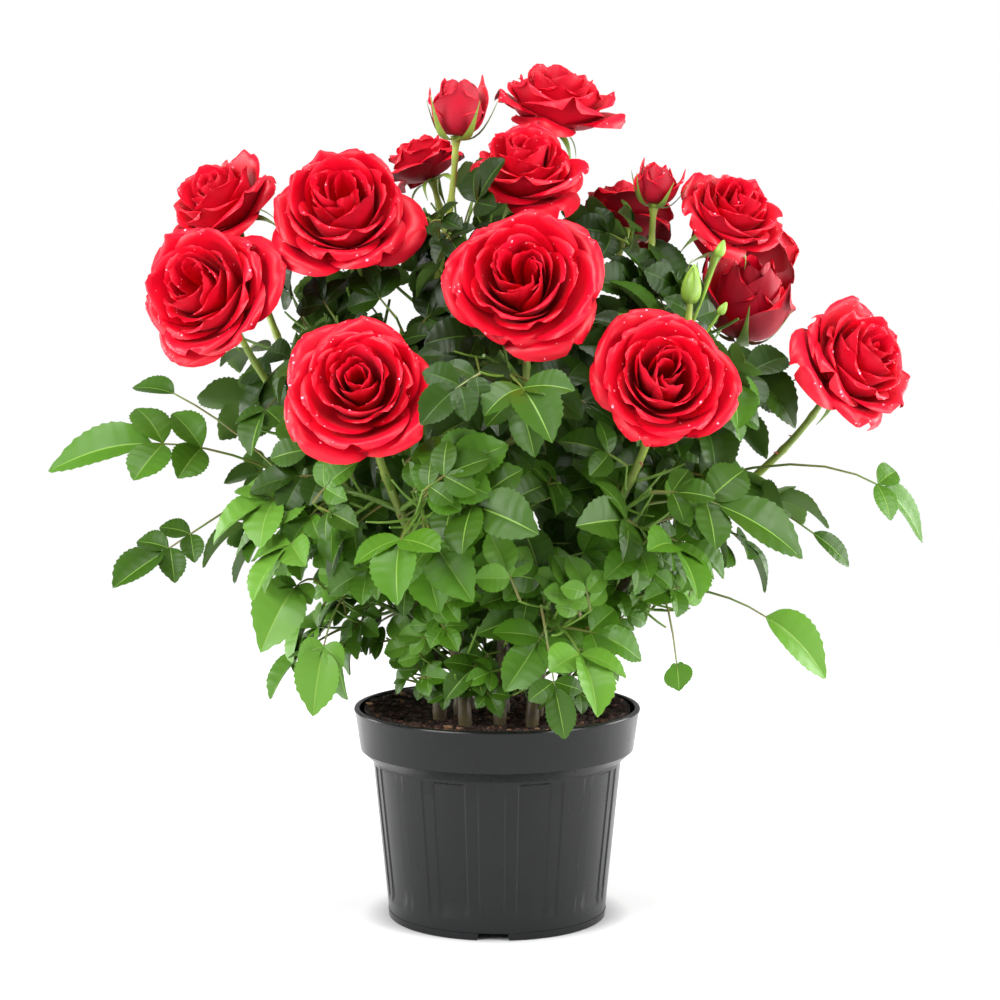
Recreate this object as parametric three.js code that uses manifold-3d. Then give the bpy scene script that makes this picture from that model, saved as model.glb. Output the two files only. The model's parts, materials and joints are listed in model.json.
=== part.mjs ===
import * as THREE from "three";
import { mergeVertices } from "three/addons/utils/BufferGeometryUtils.js";
import Module from "manifold-3d";

// A bush rose in full flower, in the ribbed nursery pot that it grows in.
// Millimetres, +Z up. The origin is the middle of the pot's flat underside, -Y is the front.
// Canes rise from the soil, side stems leave them, and each stem carries one bloom.
// Leafy shoots leave the stems too. Each shoot with its twigs and leaves is one mass of foliage.

const wasm = await Module();
wasm.setup();

// Running gap between two solids that touch on the real plant
const GAP = 0.3;

// Pot: a round tapering body under a wider band, pressed with nine flat-bottomed panels
const POT = {
  height: 148,
  rimRadius: 100,
  bandHeight: 29,
  bandFootRadius: 95.5,
  bodyTopRadius: 87,
  bodyTop: 112,
  bodyFootRadius: 77,
  bodyFoot: 13,
  baseRadius: 76.4,
  wall: 2.2,
  lip: 3.2,
  floor: 7.5,
  channel: 5,
  padRadius: 30,
  ringRadius: 69,
  facets: 32,
};
const PANEL = { count: 9, width: 22, depth: 1.1, foot: 16, top: 108, firstTurn: 17.5 };
const NOTCH = { count: 4, width: 21, reach: 16, firstTurn: -2 };

// Soil: a level middle that the canes stand on, heaped up near the wall
const SOIL = { top: 139, level: 52, heap: 2.6, facets: 18, seed: 5 };

// Stems: canes stand on the soil and side stems leave a cane, all on a round five-sided section
const STEM = { sides: 5, caneRings: 7, sideRings: 6, neckRadius: 2.1, hipRadius: 4.2, hipLength: 9 };
const CANE_RADIUS = 4.6;
const SIDE_RADIUS = 2.9;

// Crown: the foliage's outline, an egg that is drawn in toward the pot
const CROWN = { middle: 340, rise: 160, drop: 195, width: 200, depth: 165, tuck: 0.25 };

// Foliage: shoots, their side twigs, and leaves of one, three or five leaflets
const SHOOT = {
  rootRadius: 2.1,
  tipRadius: 1.3,
  arch: 0.12,
  steps: 4,
  length: 62,
  room: 4,
  inside: 18,
  below: 15,
};
const TWIG = {
  rootRadius: 1.5,
  tipRadius: 1.1,
  sides: 3,
  steps: 2,
  lean: 60,
  length: 36,
  rise: 0.2,
  count: 3,
  tries: 14,
};
const LEAF = {
  stalk: 24,
  stalkWidth: 2,
  rootShare: 0.5,
  blade: 50,
  slender: 0.74,
  widest: 0.42,
  thickness: 1.4,
  fold: 0.25,
  droop: 0.3,
  arch: 0.12,
  outward: 0.5,
  hang: 0.2,
  faceOut: 0.85,
  faceUp: 0.5,
  sideSize: 0.82,
  reachingSideSize: 0.58,
  sideShrink: 0.16,
  sideTurn: 66,
  pairStep: 0.5,
  room: 5.5,
  spotStep: 5,
  woodRoom: 4,
  count: 10,
  tries: 320,
};
// A mass keeps to the space round its middle, which lies at a share of its shoot
const CELL = { middle: 0.7, margin: 1.2 };
const FIRST_SEED = 100;
const LIMB_ROOM = 3.2;
const BLOOM_ROOM = 4;
const GOLDEN_TURN = Math.PI * (3 - Math.sqrt(5));

// Each bloom: its middle, its width, the way it faces and how far it has opened
const BLOOMS = {
  left_low: { at: [-198, -40, 439], size: 94, faces: [-0.45, -0.8, 0.35] },
  left_high: { at: [-193, 25, 501], size: 80, faces: [-0.5, -0.45, 0.75] },
  left_big: { at: [-104, -30, 494], size: 98, faces: [-0.1, -0.75, 0.65] },
  front_left: { at: [-88, -130, 381], size: 96, faces: [-0.1, -0.9, 0.4] },
  centre: { at: [16, -110, 447], size: 98, faces: [-0.1, -0.9, 0.45] },
  front_right: { at: [108, -130, 385], size: 93, faces: [0.1, -0.9, 0.4] },
  right_far: { at: [249, -20, 391], size: 88, faces: [0.62, -0.6, 0.5] },
  right_high: { at: [163, 0, 493], size: 76, faces: [0.35, -0.6, 0.7] },
  right_back: { at: [178, 42, 433], size: 62, faces: [0.15, -0.3, 0.95], cup: 1 },
  top_centre: { at: [20, -12, 523], size: 80, faces: [0, -0.5, 0.85] },
  top: { at: [42, 48, 572], size: 84, faces: [0.2, -0.2, 0.95] },
  top_bud: { at: [-27, -10, 563], size: 40, faces: [0.05, -0.1, 1], cup: 1 },
  back_left: { at: [-52, 55, 530], size: 58, faces: [-0.4, 0.1, 0.9] },
  back_right: { at: [91, 66, 492], size: 68, faces: [0.1, 0.5, 0.85] },
  right_bud: { at: [110, 0, 512], size: 30, faces: [0.15, -0.1, 1], cup: 1 },
  rear_left: { at: [-106, 140, 372], size: 92, faces: [-0.4, 0.85, 0.4] },
  rear_right: { at: [122, 140, 378], size: 92, faces: [0.4, 0.85, 0.4] },
  rear_centre: { at: [14, 148, 441], size: 94, faces: [0, 0.85, 0.5] },
  rear_high_left: { at: [-118, 100, 490], size: 82, faces: [-0.4, 0.6, 0.7] },
  rear_high_right: { at: [186, 108, 470], size: 80, faces: [0.6, 0.55, 0.6] },
};
// The one bud that is still closed is green and grows as one piece with its stem
const GREEN_BUD = { at: [130, -60, 444], radius: 6.5, length: 26, faces: [0.1, -0.1, 1] };

// Canes, each from its foot on the soil to its bloom
const CANES = [
  { bloom: "left_low", foot: [-40, -8] },
  { bloom: "left_big", foot: [-26, 12] },
  { bloom: "front_left", foot: [-22, -30] },
  { bloom: "centre", foot: [2, -26] },
  { bloom: "front_right", foot: [24, -32] },
  { bloom: "right_far", foot: [42, -10] },
  { bloom: "right_high", foot: [28, 8] },
  { bloom: "top", foot: [4, 12] },
  { bloom: "rear_left", foot: [-20, 36] },
  { bloom: "rear_right", foot: [26, 36] },
];
// Side stems, each from a cane, at a share of that cane's length, to its bloom
const SIDE_STEMS = [
  { bloom: "left_high", cane: "left_low", along: 0.5 },
  { bloom: "top_centre", cane: "top", along: 0.5 },
  { bloom: "top_bud", cane: "left_big", along: 0.5 },
  { bloom: "back_left", cane: "top", along: 0.42 },
  { bloom: "back_right", cane: "top", along: 0.6 },
  { bloom: "right_bud", cane: "right_high", along: 0.6 },
  { bloom: "green_bud", cane: "right_high", along: 0.45 },
  { bloom: "right_back", cane: "right_high", along: 0.52 },
  { bloom: "rear_centre", cane: "rear_right", along: 0.4 },
  { bloom: "rear_high_left", cane: "rear_left", along: 0.45 },
  { bloom: "rear_high_right", cane: "rear_right", along: 0.5 },
];

// Rings of foliage: turn is measured at the pot's axis from the front toward +X
const RINGS = [
  { ring: "low", height: 232, reach: 0.84, sides: { front: 14, right: 84, back: 184, left: 276 } },
  {
    ring: "middle",
    height: 308,
    reach: 0.8,
    sides: {
      front: 348,
      front_right: 44,
      right: 94,
      back_right: 140,
      back_left: 200,
      left: 262,
      front_left: 306,
    },
  },
  { ring: "upper", height: 398, reach: 0.66, sides: { front: 356, right: 70, back: 184, left: 286 } },
  { ring: "top", height: 474, reach: 0, sides: { middle: 0 } },
];

// Leaves that stand out of the crown's outline: the foot of the end leaflet and its tip
const REACHING_LEAVES = [
  { joint: [-236, -20, 335], tip: [-306, -20, 324], width: 30, pairs: 2 },
  { joint: [-204, -50, 241], tip: [-261, -50, 238], width: 27, pairs: 2 },
  { joint: [-215, 38, 378], tip: [-256, 40, 376], width: 20, pairs: 0 },
  { joint: [-113, -67, 228], tip: [-158, -69, 204], width: 40, pairs: 1 },
  { joint: [-104, -75, 197], tip: [-124, -75, 158], width: 31, pairs: 1 },
  { joint: [272, 17, 330], tip: [304, 17, 270], width: 22, pairs: 1 },
  { joint: [185, -50, 223], tip: [224, -50, 178], width: 28, pairs: 2 },
  { joint: [147, -96, 306], tip: [204, -96, 268], width: 36, pairs: 1 },
  { joint: [218, -10, 271], tip: [245, -10, 249], width: 16, pairs: 0 },
  { joint: [109, -85, 190], tip: [122, -85, 174], width: 20, pairs: 1 },
  { joint: [128, -60, 228], tip: [162, -60, 182], width: 18, pairs: 0 },
  { joint: [43, -112, 182], tip: [43, -118, 147], width: 20, pairs: 1 },
  { joint: [-54, -56, 182], tip: [-60, -64, 157], width: 22, pairs: 1 },
  { joint: [176, -24, 376], tip: [204, -26, 366], width: 18, pairs: 0 },
];

const UP = new THREE.Vector3(0, 0, 1);

function vector(list) {
  return new THREE.Vector3(list[0], list[1], list[2]);
}

// Numbers from 0 to 1 that are the same at every run
function seededRandom(seed) {
  let state = seed >>> 0;
  return () => {
    state = (state + 0x6d2b79f5) >>> 0;
    let mixed = state;
    mixed = Math.imul(mixed ^ (mixed >>> 15), mixed | 1);
    mixed ^= mixed + Math.imul(mixed ^ (mixed >>> 7), mixed | 61);
    return ((mixed ^ (mixed >>> 14)) >>> 0) / 4294967296;
  };
}

// The part of a rough direction that lies square to a way
function squareTo(way, rough) {
  return rough.clone().addScaledVector(way, -rough.dot(way)).normalize();
}

// A closed geometry with one vertex per corner and no faces without area
function weld(geometry) {
  const bare = geometry.clone();
  bare.deleteAttribute("normal");
  bare.deleteAttribute("uv");
  const merged = mergeVertices(bare, 1e-4);
  const corners = merged.index.array;
  const kept = [];
  for (let i = 0; i < corners.length; i += 3) {
    const [a, b, c] = [corners[i], corners[i + 1], corners[i + 2]];
    if (a !== b && b !== c && c !== a) kept.push(a, b, c);
  }
  merged.setIndex(kept);
  return merged;
}

function solidOf(geometry) {
  const welded = weld(geometry);
  return new wasm.Manifold(
    new wasm.Mesh({
      numProp: 3,
      vertProperties: new Float32Array(welded.getAttribute("position").array),
      triVerts: new Uint32Array(welded.index.array),
    }),
  );
}

// The largest connected piece of a solid, without loose scraps
function mainPiece(solid) {
  const pieces = solid.decompose();
  return pieces.reduce((best, piece) => (piece.volume() > best.volume() ? piece : best));
}

function geometryOf(solid) {
  const mesh = mainPiece(solid).getMesh();
  const geometry = new THREE.BufferGeometry();
  geometry.setAttribute("position", new THREE.BufferAttribute(new Float32Array(mesh.vertProperties), 3));
  geometry.setIndex(new THREE.BufferAttribute(new Uint32Array(mesh.triVerts), 1));
  geometry.computeVertexNormals();
  return geometry;
}

function joined(solids) {
  return wasm.Manifold.union(solids);
}

// A limb is a cylinder bent along a curve, with a place on the curve and a radius for each ring.
// Its last ring may be turned to face what the limb carries.
function limbGeometry({ curve, shares, radii, sides, endFace }) {
  const steps = shares.length - 1;
  const geometry = new THREE.CylinderGeometry(1, 1, 1, sides, steps);
  const chord = curve.getPointAt(1).sub(curve.getPointAt(0));
  const level = Math.hypot(chord.x, chord.y) > 1 ? UP.clone().cross(chord) : new THREE.Vector3(1, 0, 0);
  const rings = shares.map((share, row) => {
    const way = row === steps && endFace ? endFace : curve.getTangentAt(share);
    const side = squareTo(way, level);
    return { centre: curve.getPointAt(share), side, front: way.clone().cross(side), radius: radii[row] };
  });
  const position = geometry.getAttribute("position");
  for (let i = 0; i < position.count; i += 1) {
    const ring = rings[Math.round((position.getY(i) + 0.5) * steps)];
    const point = ring.centre.clone();
    point.addScaledVector(ring.side, position.getX(i) * ring.radius);
    point.addScaledVector(ring.front, -position.getZ(i) * ring.radius);
    position.setXYZ(i, point.x, point.y, point.z);
  }
  return geometry;
}

// Pot

function turned(profile, facets) {
  const geometry = new THREE.LatheGeometry(
    profile.map(([radius, height]) => new THREE.Vector2(radius, height)),
    facets,
  );
  geometry.rotateX(Math.PI / 2);
  return geometry;
}

// A box standing on the pot's wall, turned about the pot's axis from the front toward +X
function wallBox(width, depth, height, radius, middle, lean, turn) {
  const box = new THREE.BoxGeometry(width, depth, height);
  box.rotateX(lean);
  box.translate(0, -radius, middle);
  box.rotateZ(THREE.MathUtils.degToRad(turn));
  return solidOf(box);
}

function potSolid() {
  const band = POT.height - POT.bandHeight;
  const shell = turned(
    [
      [0, 0],
      [POT.padRadius, 0],
      [POT.padRadius + 2, POT.channel],
      [POT.ringRadius, POT.channel],
      [POT.ringRadius + 1, 0],
      [POT.baseRadius, 0],
      [POT.bodyFootRadius, POT.bodyFoot],
      [POT.bodyTopRadius, POT.bodyTop],
      [POT.bodyTopRadius + 4, POT.bodyTop + 3],
      [POT.bandFootRadius, band],
      [POT.rimRadius, POT.height],
      [POT.rimRadius - POT.lip, POT.height],
      [POT.bandFootRadius - POT.wall, band],
      [POT.bodyTopRadius - POT.wall, POT.bodyTop],
      [POT.bodyFootRadius - POT.wall, POT.floor],
      [0, POT.floor],
    ],
    POT.facets,
  );
  const tall = PANEL.top - PANEL.foot;
  const middle = (PANEL.top + PANEL.foot) / 2;
  const slope = (POT.bodyTopRadius - POT.bodyFootRadius) / (POT.bodyTop - POT.bodyFoot);
  const wallAt = (height) => POT.bodyFootRadius + slope * (height - POT.bodyFoot);
  const bars = [];
  for (let i = 0; i < PANEL.count; i += 1) {
    const turn = PANEL.firstTurn + (i * 360) / PANEL.count;
    bars.push(wallBox(PANEL.width, 10, tall, wallAt(middle), middle, -Math.atan(slope), turn));
  }
  const inner = turned(
    [
      [0, 0],
      [wallAt(0) - PANEL.depth, 0],
      [wallAt(POT.height) - PANEL.depth, POT.height],
      [0, POT.height],
    ],
    POT.facets,
  );
  const panels = joined(bars).subtract(solidOf(inner));
  const notches = [];
  for (let i = 0; i < NOTCH.count; i += 1) {
    const turn = NOTCH.firstTurn + (i * 360) / NOTCH.count;
    notches.push(wallBox(NOTCH.width, NOTCH.reach, 2 * POT.channel, POT.baseRadius, 0, 0, turn));
  }
  return solidOf(shell).subtract(panels).subtract(joined(notches));
}

// Soil fills the pot: its side follows the inner wall and its rim is heaped unevenly
function soilGeometry() {
  const random = seededRandom(SOIL.seed);
  const inside = (height) => {
    const slope = (POT.bodyTopRadius - POT.bodyFootRadius) / (POT.bodyTop - POT.floor);
    return POT.bodyFootRadius - POT.wall - GAP * 2 + slope * (height - POT.floor);
  };
  const floor = POT.floor + GAP;
  const geometry = turned(
    [
      [0, floor],
      [inside(floor), floor],
      [inside(POT.bodyTop) - 0.5, POT.bodyTop],
      [POT.bandFootRadius - POT.wall - 2, POT.height - POT.bandHeight + 1],
      [POT.bandFootRadius - POT.wall - 1, SOIL.top],
      [SOIL.level + 18, SOIL.top],
      [SOIL.level, SOIL.top],
      [0, SOIL.top],
    ],
    SOIL.facets,
  );
  const welded = weld(geometry);
  const position = welded.getAttribute("position");
  for (let i = 0; i < position.count; i += 1) {
    const radius = Math.hypot(position.getX(i), position.getY(i));
    if (position.getZ(i) > SOIL.top - 0.01 && radius > SOIL.level + 1) {
      position.setZ(i, SOIL.top + SOIL.heap * random());
    }
  }
  return welded;
}

// Stems

// A flower's calyx sits this far behind the middle of its petals
function seatOf(bloom) {
  const depth = bloom.cup ? 0.5 : 0.28;
  return vector(bloom.at).addScaledVector(vector(bloom.faces).normalize(), -depth * bloom.size);
}

function stemCurve(start, startWay, end, endWay) {
  const length = start.distanceTo(end);
  return new THREE.CubicBezierCurve3(
    start,
    start.clone().addScaledVector(startWay, 0.35 * length),
    end.clone().addScaledVector(endWay, -0.38 * length),
    end,
  );
}

// A stem ends between straight up and the way its flower faces
function endWay(faces) {
  return vector(faces).normalize().add(UP).normalize();
}

function stemEnd(name) {
  if (name === "green_bud") {
    const faces = vector(GREEN_BUD.faces).normalize();
    return vector(GREEN_BUD.at).addScaledVector(faces, -GREEN_BUD.length / 2);
  }
  return seatOf(BLOOMS[name]);
}

function facesOf(name) {
  return name === "green_bud" ? GREEN_BUD.faces : BLOOMS[name].faces;
}

function stemLimb(name, curve, rootRadius, rings) {
  const neckShare = 1 - STEM.hipLength / curve.getLength();
  const shares = [];
  for (let i = 0; i < rings; i += 1) shares.push((neckShare * i) / (rings - 1));
  const radii = shares.map((share) => rootRadius + (STEM.neckRadius - rootRadius) * share);
  shares.push(1);
  radii.push(name === "green_bud" ? STEM.neckRadius : STEM.hipRadius);
  return { name, curve, shares, radii, sides: STEM.sides, endFace: vector(facesOf(name)).normalize() };
}

function caneLimb({ bloom, foot }) {
  const start = new THREE.Vector3(foot[0], foot[1], SOIL.top + GAP);
  const curve = stemCurve(start, UP, stemEnd(bloom), endWay(facesOf(bloom)));
  return stemLimb(bloom, curve, CANE_RADIUS, STEM.caneRings);
}

function sideLimb({ bloom, cane, along }, canes) {
  const parent = canes.find((limb) => limb.name === cane);
  const start = parent.curve.getPointAt(along);
  const toward = stemEnd(bloom).sub(start).normalize();
  const startWay = parent.curve.getTangentAt(along).multiplyScalar(0.5).add(toward).normalize();
  const curve = stemCurve(start, startWay, stemEnd(bloom), endWay(facesOf(bloom)));
  return { ...stemLimb(bloom, curve, SIDE_RADIUS, STEM.sideRings), parent };
}

// The same limb, thicker all round by the running gap
function clearance(limb) {
  const room = GAP / Math.cos(Math.PI / STEM.sides);
  return solidOf(limbGeometry({ ...limb, radii: limb.radii.map((radius) => radius + room) }));
}

function budGeometry() {
  const geometry = new THREE.SphereGeometry(1, 6, 5);
  geometry.rotateX(Math.PI / 2);
  const position = geometry.getAttribute("position");
  for (let i = 0; i < position.count; i += 1) {
    const height = position.getZ(i);
    const waist = GREEN_BUD.radius * (height > 0 ? 1 - 0.35 * height : 1);
    position.setXYZ(i, position.getX(i) * waist, position.getY(i) * waist, (height * GREEN_BUD.length) / 2);
  }
  const faces = vector(GREEN_BUD.faces).normalize();
  geometry.applyQuaternion(new THREE.Quaternion().setFromUnitVectors(UP, faces));
  geometry.translate(...GREEN_BUD.at);
  return geometry;
}

function stemSolid(limb) {
  let solid = solidOf(limbGeometry(limb));
  if (limb.parent) solid = solid.subtract(clearance(limb.parent));
  if (limb.name === "green_bud") solid = solid.add(solidOf(budGeometry()));
  return solid;
}

// Blooms

// A flower is one skin folded into rows of petals, from the flat calyx out to the petal tips and
// back in to the heart. Every other corner of a row is a petal's tip, the rest lie in by its notch.
const OPEN_FOLDS = [
  { radius: 0, height: 0, notch: 0 },
  { radius: 0.11, height: 0, notch: 0 },
  { radius: 0.55, height: 0.22, notch: 0 },
  { radius: 1, height: 0.44, notch: 0.13 },
  { radius: 0.7, height: 0.56, notch: 0.04 },
  { radius: 0.8, height: 0.8, notch: -0.12 },
  { radius: 0.46, height: 0.8, notch: 0 },
  { radius: 0.5, height: 1.04, notch: 0.1 },
  { radius: 0.2, height: 0.88, notch: 0 },
  { radius: 0, height: 0.96, notch: 0 },
];
const CUPPED_FOLDS = [
  { radius: 0, height: 0, notch: 0 },
  { radius: 0.18, height: 0, notch: 0 },
  { radius: 0.66, height: 0.45, notch: 0 },
  { radius: 1, height: 1.25, notch: 0.22 },
  { radius: 0.62, height: 1.2, notch: 0 },
  { radius: 0.5, height: 1.5, notch: -0.12 },
  { radius: 0, height: 1.45, notch: 0 },
];
const FOLD_CORNERS = 12;

function bloomGeometry(bloom) {
  const folds = bloom.cup ? CUPPED_FOLDS : OPEN_FOLDS;
  const last = folds.length - 1;
  const geometry = new THREE.SphereGeometry(1, FOLD_CORNERS, last);
  geometry.rotateX(Math.PI / 2);
  const position = geometry.getAttribute("position");
  for (let i = 0; i < position.count; i += 1) {
    const [x, y, z] = [position.getX(i), position.getY(i), position.getZ(i)];
    const row = Math.round((Math.acos(THREE.MathUtils.clamp(-z, -1, 1)) / Math.PI) * last);
    const turn = Math.atan2(y, x);
    const corner = Math.round((turn / (2 * Math.PI)) * FOLD_CORNERS);
    const isNotch = Math.abs(corner % 2) === (folds[row].notch > 0 ? 1 : 0);
    const reach = (folds[row].radius - (isNotch ? Math.abs(folds[row].notch) : 0)) * (bloom.size / 2);
    const height = folds[row].height * (bloom.size / 2);
    position.setXYZ(i, reach * Math.cos(turn), reach * Math.sin(turn), height);
  }
  const faces = vector(bloom.faces).normalize();
  geometry.applyQuaternion(new THREE.Quaternion().setFromUnitVectors(UP, faces));
  const seat = seatOf(bloom).addScaledVector(faces, GAP);
  geometry.translate(seat.x, seat.y, seat.z);
  return weld(geometry);
}

// Foliage

// The crown's half width at a height
function crownWidth(height) {
  const above = height - CROWN.middle;
  const share = above > 0 ? above / CROWN.rise : above / CROWN.drop;
  const round = Math.sqrt(Math.max(0, 1 - share * share));
  return CROWN.width * round * (1 + CROWN.tuck * Math.min(0, share));
}

// A point at a height, a turn from the front toward +X and a share of the crown's width
function crownPoint(height, turn, share) {
  const angle = THREE.MathUtils.degToRad(turn);
  const width = crownWidth(height) * share;
  const depth = (width * CROWN.depth) / CROWN.width;
  return new THREE.Vector3(width * Math.sin(angle), -depth * Math.cos(angle), height);
}

function distanceToSegment(point, from, to) {
  const way = to.clone().sub(from);
  const share = THREE.MathUtils.clamp(point.clone().sub(from).dot(way) / way.lengthSq(), 0, 1);
  return from.clone().addScaledVector(way, share).distanceTo(point);
}

// The middle line of a limb as its straight stretches from ring to ring
function limbLine({ curve, shares, radii }) {
  return shares.slice(1).map((share, row) => ({
    from: curve.getPointAt(shares[row]),
    to: curve.getPointAt(share),
    radius: Math.max(radii[row], radii[row + 1]),
  }));
}

function clearOfLines(point, lines, room) {
  return lines.every((stretch) => distanceToSegment(point, stretch.from, stretch.to) > stretch.radius + room);
}

// A shoot rises a little and arches out to its tip
function shootCurve(root, tip) {
  const middle = root.clone().lerp(tip, 0.5);
  middle.z += SHOOT.arch * root.distanceTo(tip);
  return new THREE.QuadraticBezierCurve3(root, middle, tip);
}

// A mass starts on a stem that passes inside and below its tip, about a shoot's length away, from
// where its shoot meets no other stem
function rootFor(tip, limbs) {
  let best = null;
  for (const limb of limbs) {
    const others = limbs.filter((other) => other !== limb).flatMap(limbLine);
    for (let along = 0.12; along < 0.9; along += 0.04) {
      const point = limb.curve.getPointAt(along);
      const inside = Math.hypot(tip.x, tip.y) - Math.hypot(point.x, point.y);
      const isInside = inside > SHOOT.inside || Math.hypot(tip.x, tip.y) < 1;
      const misfit = Math.abs(point.distanceTo(tip) - SHOOT.length);
      if (!isInside || tip.z - point.z < SHOOT.below || (best && misfit >= best.misfit)) continue;
      const curve = shootCurve(point, tip);
      const isFree = curve.getPoints(12).every((spot) => clearOfLines(spot, others, SHOOT.room));
      if (isFree) best = { limb, point, curve, misfit };
    }
  }
  return best;
}

function massPlans(limbs) {
  const plans = [];
  for (const { ring, height, reach, sides } of RINGS) {
    for (const [side, turn] of Object.entries(sides)) {
      const tip = crownPoint(height, turn, reach);
      const { limb, point, curve } = rootFor(tip, limbs);
      const shoot = twigSolid(curve, SHOOT.rootRadius, SHOOT.tipRadius, SHOOT.steps);
      plans.push({
        name: `foliage_${ring}_${side}`,
        seed: FIRST_SEED + plans.length,
        tip,
        curve,
        centre: point.clone().lerp(tip, CELL.middle),
        pieces: [shoot.subtract(clearance(limb))],
        taken: [],
        wood: curve.getPoints(10),
        leafCount: 0,
      });
    }
  }
  return plans;
}

// A point is in a mass's own space when no other mass's middle is nearer
function inCell(point, plan, plans) {
  return plans.every((other) => {
    if (other === plan) return true;
    const between = other.centre.clone().sub(plan.centre);
    const half = between.length() / 2;
    const along = point.clone().sub(plan.centre).dot(between.normalize());
    return along < half - CELL.margin;
  });
}

function clearOfBloom(point, bloom) {
  const faces = vector(bloom.faces).normalize();
  const offset = point.clone().sub(vector(bloom.at));
  const along = offset.dot(faces);
  const aside = offset.addScaledVector(faces, -along).length();
  const radius = bloom.size / 2 + BLOOM_ROOM;
  const depth = bloom.size * (bloom.cup ? 0.6 : 0.36) + BLOOM_ROOM;
  return (along / depth) ** 2 + (aside / radius) ** 2 > 1;
}

function clearOfPot(point) {
  const radius = Math.hypot(point.x, point.y);
  if (radius < POT.rimRadius + 5) return point.z > POT.height + 4;
  return point.z > POT.height - 30;
}

// The leaflets of a leaf in its own plane, x across it and y along its stalk, as kites
function leafletKites({ stalk, blade, width, pairs, sideSize }) {
  const kite = (x, y, turn, length, wide) => {
    const along = [Math.sin(turn), Math.cos(turn)];
    const across = [Math.cos(turn), -Math.sin(turn)];
    const spot = (share, side) => [
      x + along[0] * share * length + (across[0] * side * wide) / 2,
      y + along[1] * share * length + (across[1] * side * wide) / 2,
    ];
    return {
      near: spot(LEAF.widest, 1),
      tip: spot(1, 0),
      far: spot(LEAF.widest, -1),
      middle: spot(LEAF.widest, 0),
      foot: [x, y],
    };
  };
  const sides = [];
  for (let pair = pairs - 1; pair >= 0; pair -= 1) {
    const size = sideSize - LEAF.sideShrink * pair;
    const y = stalk - LEAF.pairStep * blade * (pair + 0.45);
    sides.push(kite(0, y, THREE.MathUtils.degToRad(LEAF.sideTurn), blade * size, width * size));
  }
  return { sides, end: kite(0, stalk, 0, blade, width) };
}

// A compound leaf is one thin closed body: a stalk with an end leaflet and pairs of side leaflets
function leafGeometry(leaf) {
  const { sides, end } = leafletKites(leaf);
  const rim = LEAF.stalkWidth / 2;
  const corners = [];
  const faces = [];
  const corner = ([x, y], rise = 0) => corners.push([x, y, rise]) - 1;
  const mirror = ([x, y]) => [-x, y];
  const ridge = (spot, thickness) => [corner(spot, thickness / 2), corner(spot, -thickness / 2)];
  // Fans of faces round a raised and a lowered middle, for a run of rim corners
  const fan = (middle, run) => {
    for (let i = 0; i + 1 < run.length; i += 1) {
      faces.push([middle[0], run[i][0], run[i + 1][0]], [middle[1], run[i + 1][1], run[i][1]]);
    }
  };
  const edge = (index) => [index, index];
  const rootRidge = ridge([0, 0], LEAF.stalkWidth * LEAF.rootShare);
  const rootRight = edge(corner([rim * LEAF.rootShare, 0]));
  const rootLeft = edge(corner([-rim * LEAF.rootShare, 0]));
  faces.push([rootRidge[1], rootRight[0], rootRidge[0]], [rootRidge[1], rootRidge[0], rootLeft[0]]);
  let behind = { ridge: rootRidge, right: rootRight, left: rootLeft };
  for (const side of sides) {
    const joint = ridge(side.foot, LEAF.stalkWidth);
    const [low, high] = [side.foot[1] - 2 * rim, side.foot[1] + 2 * rim];
    const right = { low: edge(corner([rim, low])), high: edge(corner([rim, high])) };
    const left = { low: edge(corner([-rim, low])), high: edge(corner([-rim, high])) };
    const blade = (spots, hand) => {
      const middle = ridge(hand === right ? side.middle : mirror(side.middle), LEAF.thickness);
      const [near, tip, far] = spots.map((spot) => edge(corner(spot)));
      const run = hand === right
        ? [joint, hand.low, near, tip, far, hand.high, joint]
        : [joint, hand.high, far, tip, near, hand.low, joint];
      fan(middle, run);
    };
    blade([side.near, side.tip, side.far], right);
    blade([mirror(side.near), mirror(side.tip), mirror(side.far)], left);
    fan(behind.ridge, [behind.right, right.low, joint, left.low, behind.left]);
    behind = { ridge: joint, right: right.high, left: left.high };
  }
  const middle = ridge(end.middle, LEAF.thickness);
  const [endRight, tip, endLeft] = [end.near, end.tip, end.far].map((spot) => edge(corner(spot)));
  fan(middle, [behind.ridge, behind.right, endRight, tip, endLeft, behind.left, behind.ridge]);
  const geometry = new THREE.BufferGeometry();
  const points = corners.flatMap(([x, y, rise]) => leafPoint(leaf, x, y, rise).toArray());
  geometry.setAttribute("position", new THREE.Float32BufferAttribute(points, 3));
  geometry.setIndex(faces.flat());
  return geometry;
}

// A spot of the leaf's plane in space: the stalk arches and the blades fold up from it and droop
function leafPoint({ root, way, face, stalk, blade, arch }, x, y, rise) {
  const across = way.clone().cross(face);
  const share = y / (stalk + blade);
  const lift = arch * 4 * share * (1 - share) + LEAF.fold * Math.abs(x) - (LEAF.droop * x * x) / blade;
  const point = root.clone().addScaledVector(way, y).addScaledVector(across, x);
  return point.addScaledVector(face, lift + rise);
}

// A kite's corners and middle, and the spots half way between them
function kiteSpots({ foot, near, tip, far, middle }) {
  const half = (a, b) => [(a[0] + b[0]) / 2, (a[1] + b[1]) / 2];
  const corners = [near, tip, far, foot];
  const inner = corners.map((corner) => half(corner, middle));
  const sides = [half(near, tip), half(far, tip), half(near, foot), half(far, foot)];
  return [near, tip, far, middle, ...inner, ...sides];
}

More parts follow.
